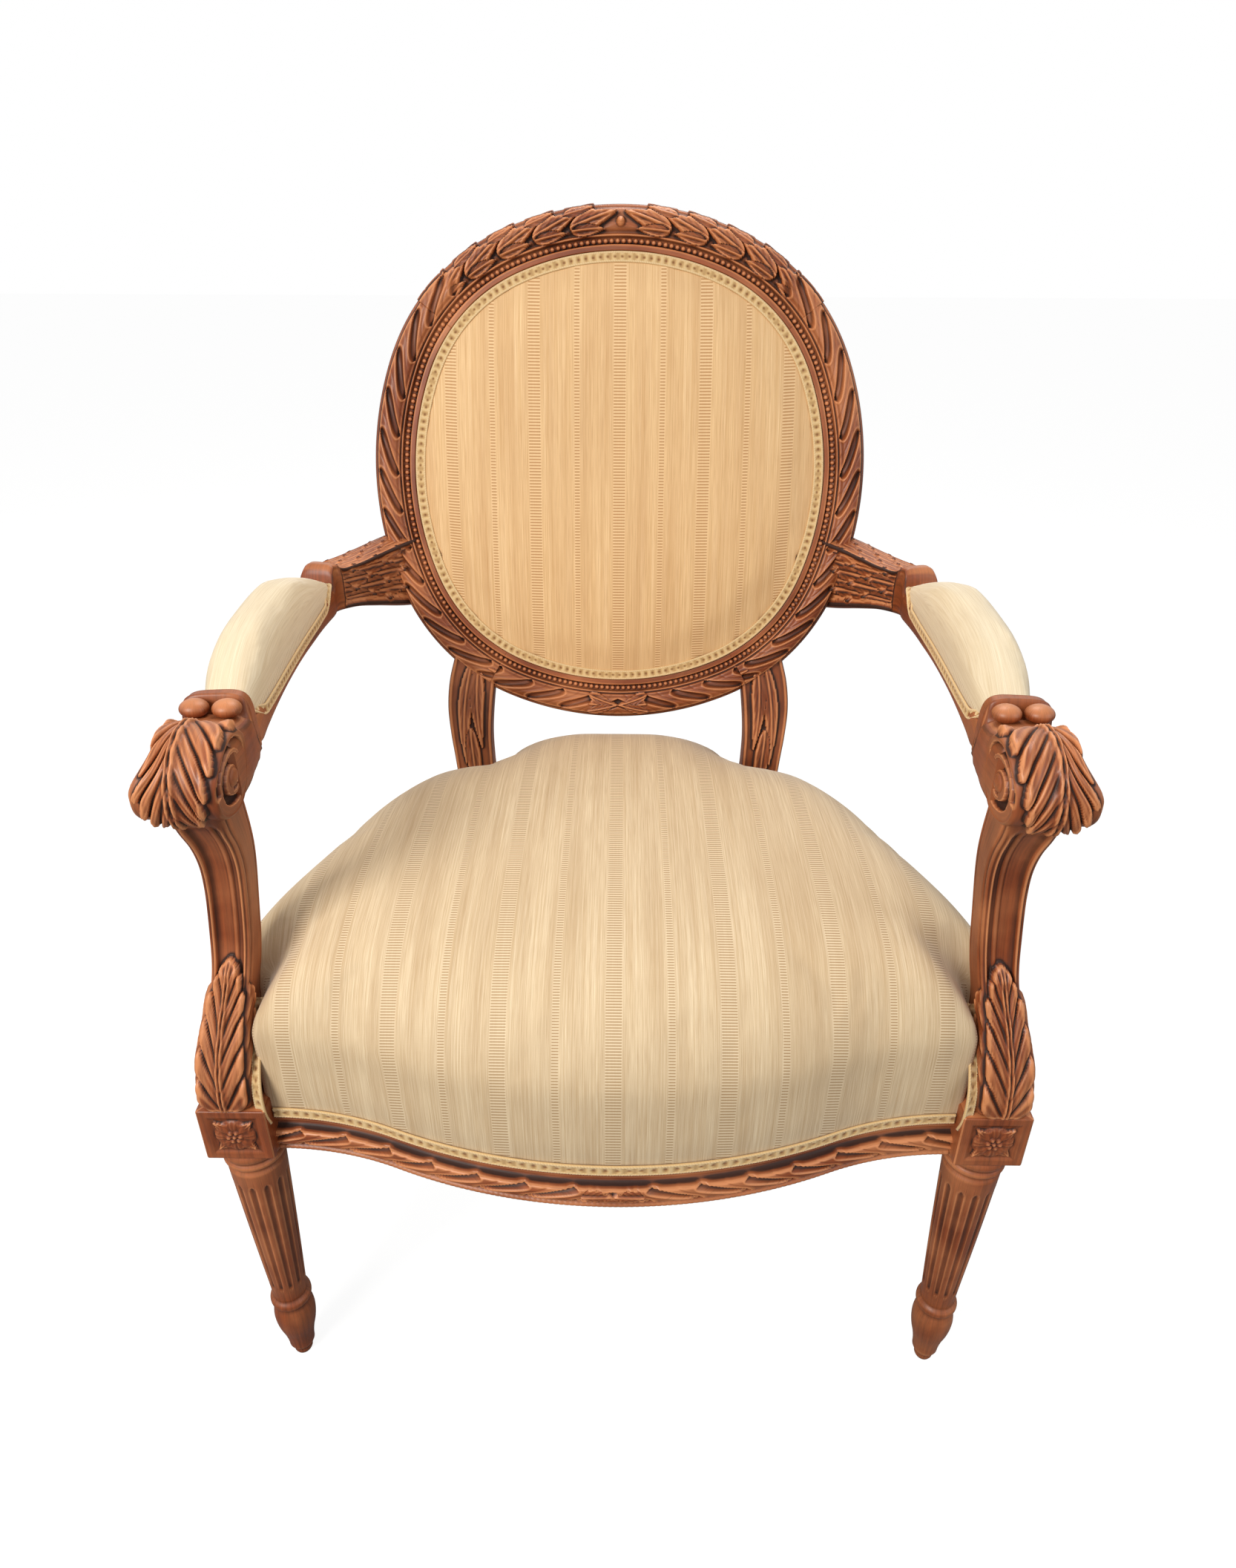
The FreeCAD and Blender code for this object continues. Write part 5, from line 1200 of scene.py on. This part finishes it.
def silk(name, ground, band_colour, streak, period=0.083, shift=0.0):
    """A silk finish from the weave group."""
    made = bpy.data.materials.new(name)
    made.use_nodes = True
    tree = made.node_tree
    shader = tree.nodes["Principled BSDF"]
    tone = tree.nodes.new("ShaderNodeGroup")
    tone.node_tree = cloth_group
    where = node(tree, "Attribute", attribute_name="weave")
    tree.links.new(where.outputs["Vector"], tone.inputs["Weave Map"])
    for label, value in (("Ground", srgb(*ground)), ("Band", srgb(*band_colour)), ("Streak", srgb(*streak)),
                         ("Period", period), ("Shift", shift)):
        tone.inputs[label].default_value = value
    bump = node(tree, "Bump", {"Height": tone.outputs["Height"], "Distance": 0.0004, "Strength": 0.55})
    tree.links.new(tone.outputs["Color"], shader.inputs["Base Color"])
    tree.links.new(tone.outputs["Roughness"], shader.inputs["Roughness"])
    tree.links.new(bump.outputs[0], shader.inputs["Normal"])
    shader.inputs["Sheen Weight"].default_value = 0.25
    shader.inputs["Sheen Roughness"].default_value = 0.4
    shader.inputs["Specular IOR Level"].default_value = 0.3
    return made


back_silk = silk("back_silk", (226, 186, 134), (184, 134, 84), (244, 210, 162))
seat_silk = silk("seat_silk", (210, 184, 146), (168, 134, 94), (232, 212, 178))
arm_silk = silk("arm_silk", (226, 208, 174), (194, 170, 132), (240, 226, 198), 0.2, 0.05)
lining_cloth = silk("lining_cloth", (58, 54, 50), (46, 42, 38), (72, 68, 62), 9.0, 3.0)
hidden_cloth = silk("hidden_cloth", (186, 164, 124), (150, 124, 84), (204, 186, 150), 9.0, 3.0)

braid = bpy.data.materials.new("braid")
braid.use_nodes = True
tree = braid.node_tree
relief = node(tree, "Attribute", attribute_name="relief")
where = node(tree, "TexCoord")
thread = noise(tree, where.outputs["UV"], (900, 1600, 1), 3.0)
# Painted light: the colour follows the braid's height, dark brown as painted shade in the holes, between
# the cords and under the band, gold in between, and pale cream on the highest threads, part its own colour
# and part painted highlight.
tone = blend(tree, ramp(tree, relief.outputs["Fac"], [(0.10, 0), (0.55, 1)]), srgb(128, 78, 36),
             srgb(220, 184, 126))
tone = blend(tree, ramp(tree, relief.outputs["Fac"], [(0.5, 0), (0.95, 1)]), tone, srgb(244, 218, 172))
tone = blend(tree, maths(tree, "MULTIPLY", thread, 0.35), tone, srgb(170, 128, 74))
shader = tree.nodes["Principled BSDF"]
tree.links.new(tone, shader.inputs["Base Color"])
bump = node(tree, "Bump", {"Height": thread, "Distance": 0.0003, "Strength": 0.5})
tree.links.new(bump.outputs[0], shader.inputs["Normal"])
shader.inputs["Roughness"].default_value = 0.7
shader.inputs["Sheen Weight"].default_value = 0.2

# %% [markdown]
# Braid is one long band that follows an edge. Along its length run two twisted cords with a row of
# scallops between them, each with a small oval hole: the height is a sum of these three.

# %% Braid
BRAID_W, BRAID_T, BRAID_STEP = 10.0, 2.2, 1.0


def braid_relief(run, across, pitch):
    """Height 0 to 1 of the braid; across is -1 to 1, holes sit at every pitch."""
    cords = 0
    for side in (-1, 1):
        twist = 0.82 + 0.18 * np.cos(2 * math.pi * (run / 2.3 + side * across * 1.2))
        cords = np.maximum(cords, bump_at(across, side * 0.76, 0.26) * twist)
    phase = run / pitch - np.round(run / pitch)
    hole = np.exp(-((phase / 0.20) ** 2 + (across / 0.26) ** 2))
    loops = 0.55 + 0.18 * np.cos(2 * math.pi * (run / 1.15)) * (np.abs(across) < 0.55)
    return np.maximum(cords, loops * (1 - 0.95 * hole))


def braid_mesh(name, centre, across_dir, out_dir, pitch, wide=BRAID_W, closed=False):
    """A band along a line of points, with the directions of its width and of its face."""
    gap = np.linalg.norm(np.diff(centre, axis=0), axis=1)
    length = np.concatenate([[0], np.cumsum(gap)])
    count = int(length[-1] / BRAID_STEP) + 2
    run = np.linspace(0, length[-1], count)

    def even(values):
        return np.stack([np.interp(run, length, values[:, k]) for k in range(3)], -1)

    centre, wide_way, out_way = even(centre), even(across_dir), even(out_dir)
    if closed:
        centre, wide_way, out_way, run = centre[:-1], wide_way[:-1], out_way[:-1], run[:-1]
        pitch = length[-1] / round(length[-1] / pitch)
    across = np.linspace(-1, 1, 27)
    high = braid_relief(run[:, None], across[None, :], pitch)
    lift = BRAID_T * (0.30 + 0.70 * high) * np.where(np.abs(across) > 0.97, 0.6, 1)
    sideways = wide_way[:, None] * (across * wide / 2)[None, :, None]
    top = centre[:, None] + sideways + out_way[:, None] * lift[..., None]
    under = np.linspace(1, -1, 5)[None, :, None]
    base = centre[:, None] + wide_way[:, None] * (under * wide / 2) + out_way[:, None] * 0.05
    points = np.concatenate([top, base], 1)
    # The underside rows get a low value, so they take the painted shade.
    tone = np.concatenate([high, np.full((len(run), 5), 0.3)], 1)
    return grid_mesh(name, points, close_u=closed, close_v=True, caps=not closed, relief=tone)

# %% [markdown]
# The back is a low dome of hair under silk, drawn down to the frame's ledge all round and edged with
# braid. It is made as rings from the edge to the middle. The outside back is the same, flatter.

# %% Padded back
EDGE_U = 42.3


def weave_on(mesh, across_along):
    """Store where each point lies on the cloth, in metres across and along the warp."""
    points = np.empty(len(mesh.vertices) * 3)
    mesh.vertices.foreach_get("co", points)
    normal = np.empty(len(mesh.vertices) * 3)
    mesh.vertices.foreach_get("normal", normal)
    points = points.reshape(-1, 3) * 1000 - [0, AXIS_Y, 0]
    u, v = across_along(points, normal.reshape(-1, 3))
    layer = mesh.attributes.new("weave", "FLOAT_VECTOR", "POINT")
    layer.data.foreach_set("vector", (np.stack([u, v, 0 * u], -1) * 0.001).astype(np.float32).ravel())


def evaluated(thing):
    """The object's mesh with its modifiers applied."""
    return bpy.data.meshes.new_from_object(thing.evaluated_get(bpy.context.evaluated_depsgraph_get()))


def blown(mesh, voxel, cap, free):
    """Cloth blown up from inside: remeshed evenly, pressed outwards, each point's way capped.

    A point moves by cap * tanh(way / cap) times free(point), which is 0 where tacks hold the cloth.
    """
    form = bpy.data.objects.new("form", mesh)
    scene.collection.objects.link(form)
    remesh = form.modifiers.new("even", "REMESH")
    remesh.mode, remesh.voxel_size = "VOXEL", voxel
    form.data = evaluated(form)
    form.modifiers.clear()
    count = len(form.data.vertices)
    start, end = np.empty(count * 3), np.empty(count * 3)
    form.data.vertices.foreach_get("co", start)
    cloth = form.modifiers.new("cloth", "CLOTH")
    cloth.settings.use_pressure = True
    cloth.settings.uniform_pressure_force = 4
    cloth.settings.effector_weights.gravity = 0
    cloth.point_cache.frame_start, cloth.point_cache.frame_end = 1, 20
    for step in range(1, 21):
        scene.frame_set(step)
    evaluated(form).vertices.foreach_get("co", end)
    form.modifiers.clear()
    scene.frame_set(1)
    start, end = start.reshape(-1, 3), end.reshape(-1, 3)
    way = end - start
    length = np.linalg.norm(way, axis=1, keepdims=True) + 1e-9
    way = way / length * cap * np.tanh(length / cap) * free(start * 1000 - [0, AXIS_Y, 0])[:, None]
    form.data.vertices.foreach_set("co", (start + way).ravel())
    finer = form.modifiers.new("finer", "SUBSURF")
    finer.levels = finer.render_levels = 1
    result_mesh = evaluated(form)
    bpy.data.objects.remove(form)
    result_mesh.polygons.foreach_set("use_smooth", np.ones(len(result_mesh.polygons), bool))
    print("%d points moved up to %.1f mm" % (count, 1000 * np.linalg.norm(way, axis=1).max()))
    return result_mesh


def dome_mesh(name, inset, low, crown, steps, side=1):
    """A closed swelling panel on the oval: rings of height low + crown * profile, and a flat underside."""
    turn = np.linspace(0, 2 * math.pi, 361)[:-1]
    x, up = on_oval(turn, inset)
    t = np.linspace(0, 1, steps)[:-1] ** 1.3
    t = np.concatenate([t, [0.996]])[:, None]
    away = t * 205
    lift = crown * (1 - np.clip(1 - away / 150, 0, 1) ** 2.3)
    hem = ease(away, 0.0, 9.0)
    gx, gy = x[None] * (1 - t), up[None] * (1 - t)
    w = low + side * (lift * (0.35 + 0.65 * hem) + 1.6 * hem)
    under = np.stack([on_back(x * k, up * k, low - side * 1.6) for k in (1.0, 0.995)], 0)
    points = np.concatenate([under[::-1], on_back(gx, gy, w + 0 * gx)], 0)
    return grid_mesh(name, points, close_v=True, caps=True)


def back_weave(points, normal):
    """On the back the warp runs straight up."""
    return points[:, 0], (points[:, 2] - BACK_Z) / math.cos(LEAN)


def padded_back(name, mesh, covered, finish, swell):
    """A panel of the back: swollen between its tacked edges, then dressed."""
    def free(points):
        up = (points[:, 2] - BACK_Z) / math.cos(LEAN)
        return ease(225 - np.hypot(points[:, 0], up * 0.99), 22, 60)

    mesh = blown(mesh, 0.005, swell, free)
    weave_on(mesh, back_weave)
    pad = place(name, mesh, finish, covered)
    return pad


padded_back("back_pad", dome_mesh("back_pad", EDGE_U, -5.0, 18.0, 70), ["back_cover", "back_stuffing"],
            back_silk, 0.004)
turn = np.linspace(0, 2 * math.pi, 1441)
cx, cy = on_oval(turn, EDGE_U + 5.2)
ring = on_back(cx, cy, -1.6)
inward = on_back(-np.cos(turn), -np.sin(turn), 0) - on_back(0, 0, 0)
face_out = np.broadcast_to(on_back(0, 0, 1.0) - on_back(0, 0, 0), ring.shape)
place("back_braid", braid_mesh("back_braid", ring, inward, face_out, 7.0, closed=True), braid,
      ["back_gimp"])

padded_back("outside_back_pad", dome_mesh("outside_back_pad", 45.0, -33.4, 7.0, 50, side=-1),
            ["outside_back_cover"], back_silk, 0.002)
cx, cy = on_oval(turn, 40.0)
ring = on_back(cx, cy, -33.2)
place("outside_back_braid", braid_mesh("outside_back_braid", ring, inward, -face_out, 7.0, closed=True),
      braid,
      ["outside_back_gimp"])

# %% [markdown]
# The seat is stuffed high and rolled over its front edge. Its plan follows the rails but steps in
# round the arm posts and the stiles. The surface is made from rings: up the wall from the braid,
# over the roll, and then towards the middle with a height that depends on the distance to the edge.

# %% Seat cushion
SEAT_MID = np.array([0.0, 205.0])
POST_IN, POST_BACK, STILE_IN, STILE_FRONT, SEAT_BACK = 277.5, 51.0, 129.0, 369.0, 421.0
SIDE_FRONT, SIDE_REAR = (322.5, 27.0), (180.5, 376.0)


def side_line(y):
    """The bowed outside of the right-hand side: a chord plus an 8 mm parabola."""
    t = (y - SIDE_FRONT[1]) / (SIDE_REAR[1] - SIDE_FRONT[1])
    return lerp(SIDE_FRONT[0], SIDE_REAR[0], t) + 4 * 8 * t * (1 - t)


def seat_plan(count):
    """Corners of the plan for the right half, from the front middle round to the back middle."""
    x = np.linspace(0, 277, 120)
    front = np.stack([x, rail_plan(np.minimum(x, RAIL_HALF))[0] + 1.2], -1)
    y = np.linspace(POST_BACK, STILE_FRONT, 120)
    side = np.stack([side_line(y) - 1.2, y], -1)
    steps = [np.array([[POST_IN, -12.0], [POST_IN, POST_BACK]]), side,
             np.array([[STILE_IN, STILE_FRONT], [STILE_IN, SEAT_BACK], [0, SEAT_BACK]])]
    line = np.concatenate([front] + steps)
    gap = run_along(*line.T)
    at = np.linspace(0, gap[-1], count)
    return np.stack([np.interp(at, gap, line[:, 0]), np.interp(at, gap, line[:, 1])], -1)


def soften(line, times):
    """Round the corners of a closed line by averaging neighbours."""
    for _ in range(times):
        line = 0.5 * line + 0.25 * (np.roll(line, 1, 0) + np.roll(line, -1, 0))
    return line


def seat_grid():
    """The cushion's surface as rings of points, its plan and its UV map."""
    half = seat_plan(330)
    whole = np.concatenate([half, (half * [-1, 1])[::-1][1:-1]])
    line = soften(whole, 6)
    ahead = np.roll(line, -1, 0) - np.roll(line, 1, 0)
    out = np.stack([ahead[:, 1], -ahead[:, 0]], -1)
    out = out / np.linalg.norm(out, axis=1, keepdims=True)
    out = soften(out, 10)
    wall = np.linspace(0, 1, 34)[:, None]
    wall_z = lerp(332.5, 412.0, wall)
    notch = (np.abs(line[:, 0]) > 262) & (line[:, 1] < POST_BACK + 3) | (line[:, 1] > STILE_FRONT - 3)
    free = soften(1.0 - notch[:, None].astype(float), 6)[:, 0][None, :]
    beside = ease(line[None, :, 1], 40, 130) * ease(-line[None, :, 1], -400, -330)
    swell = 8.0 + 7.0 * beside
    bulge = free * (swell * np.sin(np.clip((wall_z - 344) / 76, 0, 1) * math.pi * 0.62) - 0.6)
    low_in = (1 - free) * 0.6
    wx = line[None, :, 0] + out[None, :, 0] * (bulge - low_in)
    wy = line[None, :, 1] + out[None, :, 1] * (bulge - low_in)
    last = np.stack([wx[-1], wy[-1]], -1)
    shrink = np.concatenate([np.linspace(0.006, 0.2, 34), np.linspace(0.21, 0.996, 60)])[:, None]
    tx = last[None, :, 0] + (SEAT_MID[0] - last[None, :, 0]) * shrink
    ty = last[None, :, 1] + (SEAT_MID[1] - last[None, :, 1]) * shrink
    flat = np.stack([tx, ty], -1).reshape(-1, 2)
    a, b = last, np.roll(last, -1, 0)
    # A smooth distance to the edge: d = sqrt(2 / sum(length / r^3)), small in corners and full inside.
    pull = np.zeros(len(flat))
    spans = np.hypot(*(b - a).T)
    for start in range(len(a)):
        gap = flat - (a[start] + b[start]) / 2
        pull += spans[start] / ((gap ** 2).sum(1) + 6.0) ** 1.5
    away = np.sqrt(2 / pull).reshape(tx.shape)
    rise = curve(away, (0, 411), (2, 419), (6, 429), (12, 439), (20, 448), (32, 457.5), (50, 467),
                 (75, 475.5), (105, 481.5), (140, 485.0), (170, 486.0))
    rise = rise - 24 * ease(np.abs(tx), 30, 175) * ease(ty, 240, 415)
    points = np.concatenate([np.stack([wx, wy, wall_z + 0 * wx], -1), np.stack([tx, ty, rise], -1)], 0)
    drop = (412.0 - wall_z) + 0 * wx
    wu, wv = last[None, :, 0] + out[None, :, 0] * drop, last[None, :, 1] + out[None, :, 1] * drop
    uv = np.concatenate([np.stack([wu, wv], -1), np.stack([tx, ty], -1)], 0)
    uv = np.concatenate([uv, uv[:, :1]], 1)
    return points, line, uv


def seat_weave(points, normal):
    """The warp runs front to back on top and down the front; on the sides it turns down as well."""
    side = np.clip(np.abs(normal[:, 0]) * 1.5 - 0.5, 0, 1)
    drop = np.clip(440 - points[:, 2], 0, None)
    return points[:, 0] + np.sign(points[:, 0]) * side * drop, points[:, 1] + points[:, 2]


def seat_free(points):
    """The seat's cloth is tacked along its hem and held at the posts."""
    near = np.clip((POST_IN - np.abs(points[:, 0])) / 20, 0, 1) + ease(points[:, 1], 60, 90)
    return ease(points[:, 2], 345, 400) * np.clip(near, 0, 1) * ease(SEAT_BACK - points[:, 1], 2, 30)


seat_points, seat_line, seat_uv = seat_grid()
seat_mesh = grid_mesh("seat_pad", seat_points, close_v=True, caps=True, uv=seat_uv)
seat_mesh = blown(seat_mesh, 0.006, 0.006, seat_free)
weave_on(seat_mesh, seat_weave)
seat_pad = place("seat_pad", seat_mesh, seat_silk, ["seat_cover", "seat_stuffing"])
print("seat cushion: %d faces" % len(seat_mesh.polygons))

# %% [markdown]
# The braid covers the tacks along the front, both sides and the back of the seat, and climbs the
# inner side of each arm post, where the cloth is tucked in.

# %% Seat braid
HEM_Z, SEAT_PITCH = 336.2, 9.0
UP = [0, 0, 1.0]
x = np.linspace(-269, 269, 500)
y, nx, ny = rail_plan(x)
line = np.stack([x, y, np.full(500, HEM_Z)], -1)
out = np.stack([nx, ny, 0 * x], -1)
line = line - out * 1.4
strip = braid_mesh("front_braid", line, np.tile(UP, (500, 1)), out, SEAT_PITCH)
braids = [strip]
for sign in (1, -1):
    y = np.linspace(28, 375, 200)
    x = side_line(y)
    slope = np.gradient(x, y)
    size = np.sqrt(1 + slope ** 2)
    out = np.stack([1 / size, -slope / size, 0 * y], -1)
    line = np.stack([x, y, np.full(200, HEM_Z)], -1) - out * 1.5
    flip = np.array([sign, 1, 1])
    braids.append(braid_mesh("side_braid", line * flip, np.tile(UP, (200, 1)), out * flip, SEAT_PITCH))
for sign in (1, -1):
    t = np.linspace(0, 1, 90)
    line = np.stack([curve(t, (0, 271.5), (0.3, 272.5), (0.7, 274.0), (1, 275.5)),
                     curve(t, (0, -15.5), (0.25, -20), (0.5, -16), (0.75, 2), (1, 26)),
                     curve(t, (0, 333), (0.25, 350), (0.5, 372), (0.75, 396), (1, 420))], -1)
    along = np.gradient(line, axis=0)
    along /= np.linalg.norm(along, axis=1, keepdims=True)
    out = np.tile([0.35, -0.94, 0.0], (90, 1))
    out -= (out * along).sum(1, keepdims=True) * along
    out /= np.linalg.norm(out, axis=1, keepdims=True)
    way = np.cross(along, out)
    flip = np.array([sign, 1, 1])
    braids.append(braid_mesh("post_braid", (line + out * 3.0) * flip, way * flip, out * flip, SEAT_PITCH,
                             wide=9.0))
x = np.linspace(-135, 135, 60)
line = np.stack([x, np.full(60, 422.4), np.full(60, HEM_Z)], -1)
braids.append(braid_mesh("rear_braid", line, np.tile(UP, (60, 1)), np.tile([0, 1.0, 0], (60, 1)),
                         SEAT_PITCH))
place("seat_braid", join(braids, "seat_braid"), braid, ["seat_gimp"])

# %% [markdown]
# The arm pads are long low cushions. Their cloth comes down both sides of the arm and ends in braid.

# %% Arm pads
PAD_MID, PAD_LONG, PAD_HALF = 224.0, 139.0, 24.6


def pad_edge(spin):
    """The pad's hem: a long superellipse on the arm that climbs on to its top at both ends."""
    c, s = np.cos(spin), np.sin(spin)
    a = PAD_HALF * np.sign(c) * np.abs(c) ** 0.42
    b = PAD_LONG * np.sign(s) * np.abs(s) ** 0.86
    climb = ease(np.abs(b) * np.where(b < 0, 1.0, 1.02), 100, 133)
    return a, b, 619.5 + 16.5 * climb, climb


def pad_part():
    """The right arm pad: rings from the hem up; they shrink by powers of cos and rise as sin^0.92."""
    spin = np.linspace(0, 2 * math.pi, 320, endpoint=False)[None, :]
    lift = np.concatenate([np.linspace(0, 1.50, 34), [1.562]])[:, None]
    a, b, hem, climb = pad_edge(spin)
    shrink = np.cos(lift) ** lerp(0.42, 0.9, climb)
    along = b * shrink
    crown = curve(along, (-139, 645), (-128, 653), (-110, 661), (-70, 668.5), (0, 670.5), (80, 668),
                  (115, 660), (139, 647))
    z = hem + (crown - hem) * np.sin(lift) ** 0.92
    bulge = 1 + 0.07 * np.sin(math.pi * np.clip((z - 622) / 40, 0, 1)) * (1 - climb)
    y = PAD_MID + along
    x = arm_centre(y) + a * shrink * bulge * np.ones_like(y)
    low = np.stack([arm_centre(PAD_MID + b) + a * 0.97, PAD_MID + b * 0.985, hem - 1.2], -1)
    points = np.concatenate([low, np.stack([x, y, z], -1)], 0)
    return points, np.full(points.shape[:2], 0.5), None


def pad_braid():
    """Braid round the pad's hem, lying on the side of the arm and turning flat at both ends."""
    spin = np.linspace(0, 2 * math.pi, 721)
    a, b, hem, climb = pad_edge(spin)
    y = PAD_MID + b
    line = np.stack([arm_centre(y) + a, y, hem + 4.6 * (1 - climb) + 1.4], -1)
    ahead = np.gradient(line, axis=0)
    out = np.stack([ahead[:, 1], -ahead[:, 0], 0 * y], -1)
    out /= np.linalg.norm(out, axis=1, keepdims=True) + 1e-9
    tip = (climb * 1.25)[:, None]
    rise = np.array([0, 0, 1.0])
    way = np.cos(tip) * rise - np.sin(tip) * out
    face = np.cos(tip) * out + np.sin(tip) * rise
    line = line + out * 0.9 - out * 3.2 * climb[:, None]
    return line, way, face


def arm_weave(points, normal):
    """The warp runs along the arm and the cloth wraps down both of its sides."""
    off = points[:, 0] * np.sign(points[:, 0]) - arm_centre(points[:, 1])
    side = np.clip(np.abs(normal[:, 0]) * 1.5 - 0.5, 0, 1)
    return off + np.sign(off) * side * np.clip(650 - points[:, 2], 0, None), points[:, 1]


def pad_free(points):
    """The pad's cloth is held along its hem."""
    return ease(points[:, 2], 638, 656)


for side, flip in (("right", False), ("left", True)):
    pad = ring_mesh("pad", moved(pad_part(), flip=flip))
    pad = blown(pad, 0.004, 0.002, pad_free)
    weave_on(pad, arm_weave)
    pad = place("arm_pad_covered_" + side, pad, arm_silk,
                ["arm_cover_" + side, "arm_pad_" + side])
    way = np.array([-1 if flip else 1, 1, 1])
    line, width_way, face = pad_braid()
    strip = braid_mesh("arm_braid", line * way, width_way * way, face * way, 7.0, wide=9.0, closed=True)
    place("arm_braid_" + side, strip, braid, ["arm_gimp_" + side])

# %% [markdown]
# Underneath, a dark lining cloth is tacked to the rails and hides the webbing. It is cut to the
# seat's plan, its edge is folded in, and it ripples slightly where the tacks pull.

# %% Cloth under the seat
under_low, under_high = (1000 * np.array(side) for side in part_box("seat_dust_cloth"))
plan = (seat_line[::3] - (seat_line.min(0) + seat_line.max(0)) / 2) / (np.ptp(seat_line, axis=0) / 2)
half = (under_high[:2] - under_low[:2]) / 2 - 0.5
middle = (under_high[:2] + under_low[:2]) / 2
shrink = np.concatenate([[0.0, 0.002, 0.02, 0.05, 0.052, 0.06], np.linspace(0.08, 0.995, 60)])[:, None]
edge_x, edge_y = plan[None, :, 0] * half[0], plan[None, :, 1] * half[1] + middle[1] - AXIS_Y
inner_x = edge_x * (1 - shrink)
inner_y = edge_y * (1 - shrink) + (middle[1] - AXIS_Y) * shrink
ripple = 0.5 * np.sin(np.arctan2(inner_y - 200, inner_x) * 46)
ripple = ripple * ease(shrink, 0.05, 0.09) * ease(-shrink, -0.40, -0.12)
fold = 0.5 * ease(shrink, 0.049, 0.053)
below = under_low[2] + 0.1 + fold * 0.8 + 0.3 * ripple + 0 * inner_x
above = np.minimum(below + 0.8, under_high[2])
sheet_points = np.concatenate([np.stack([inner_x, inner_y, above], -1)[::-1],
                               np.stack([inner_x, inner_y, below], -1)], 0)
lining_mesh = grid_mesh("dust_cloth", sheet_points, close_v=True, caps=True)
weave_on(lining_mesh, lambda points, normal: (points[:, 0], points[:, 1]))
lining_piece = place("dust_cloth", lining_mesh, lining_cloth, ["seat_dust_cloth"])

# %% [markdown]
# The rails under the covers and the glue blocks keep their CAD form; they only get their finish.

# %% Pieces that keep their workshop shape
KEPT = ((("side_rail", "back_rail"), rail_wood), (("corner_block",), plain_wood),
        (("seat_", "back_webbing", "back_hessian", "back_stuffing", "arm_pad"), hidden_cloth))
for label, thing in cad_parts.items():
    for starts, material in KEPT:
        if label.startswith(starts):
            thing.data.materials.clear()
            thing.data.materials.append(material)

# %% [markdown]
# The box round the dressed chair is worked out.

# %% Close
low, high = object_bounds()
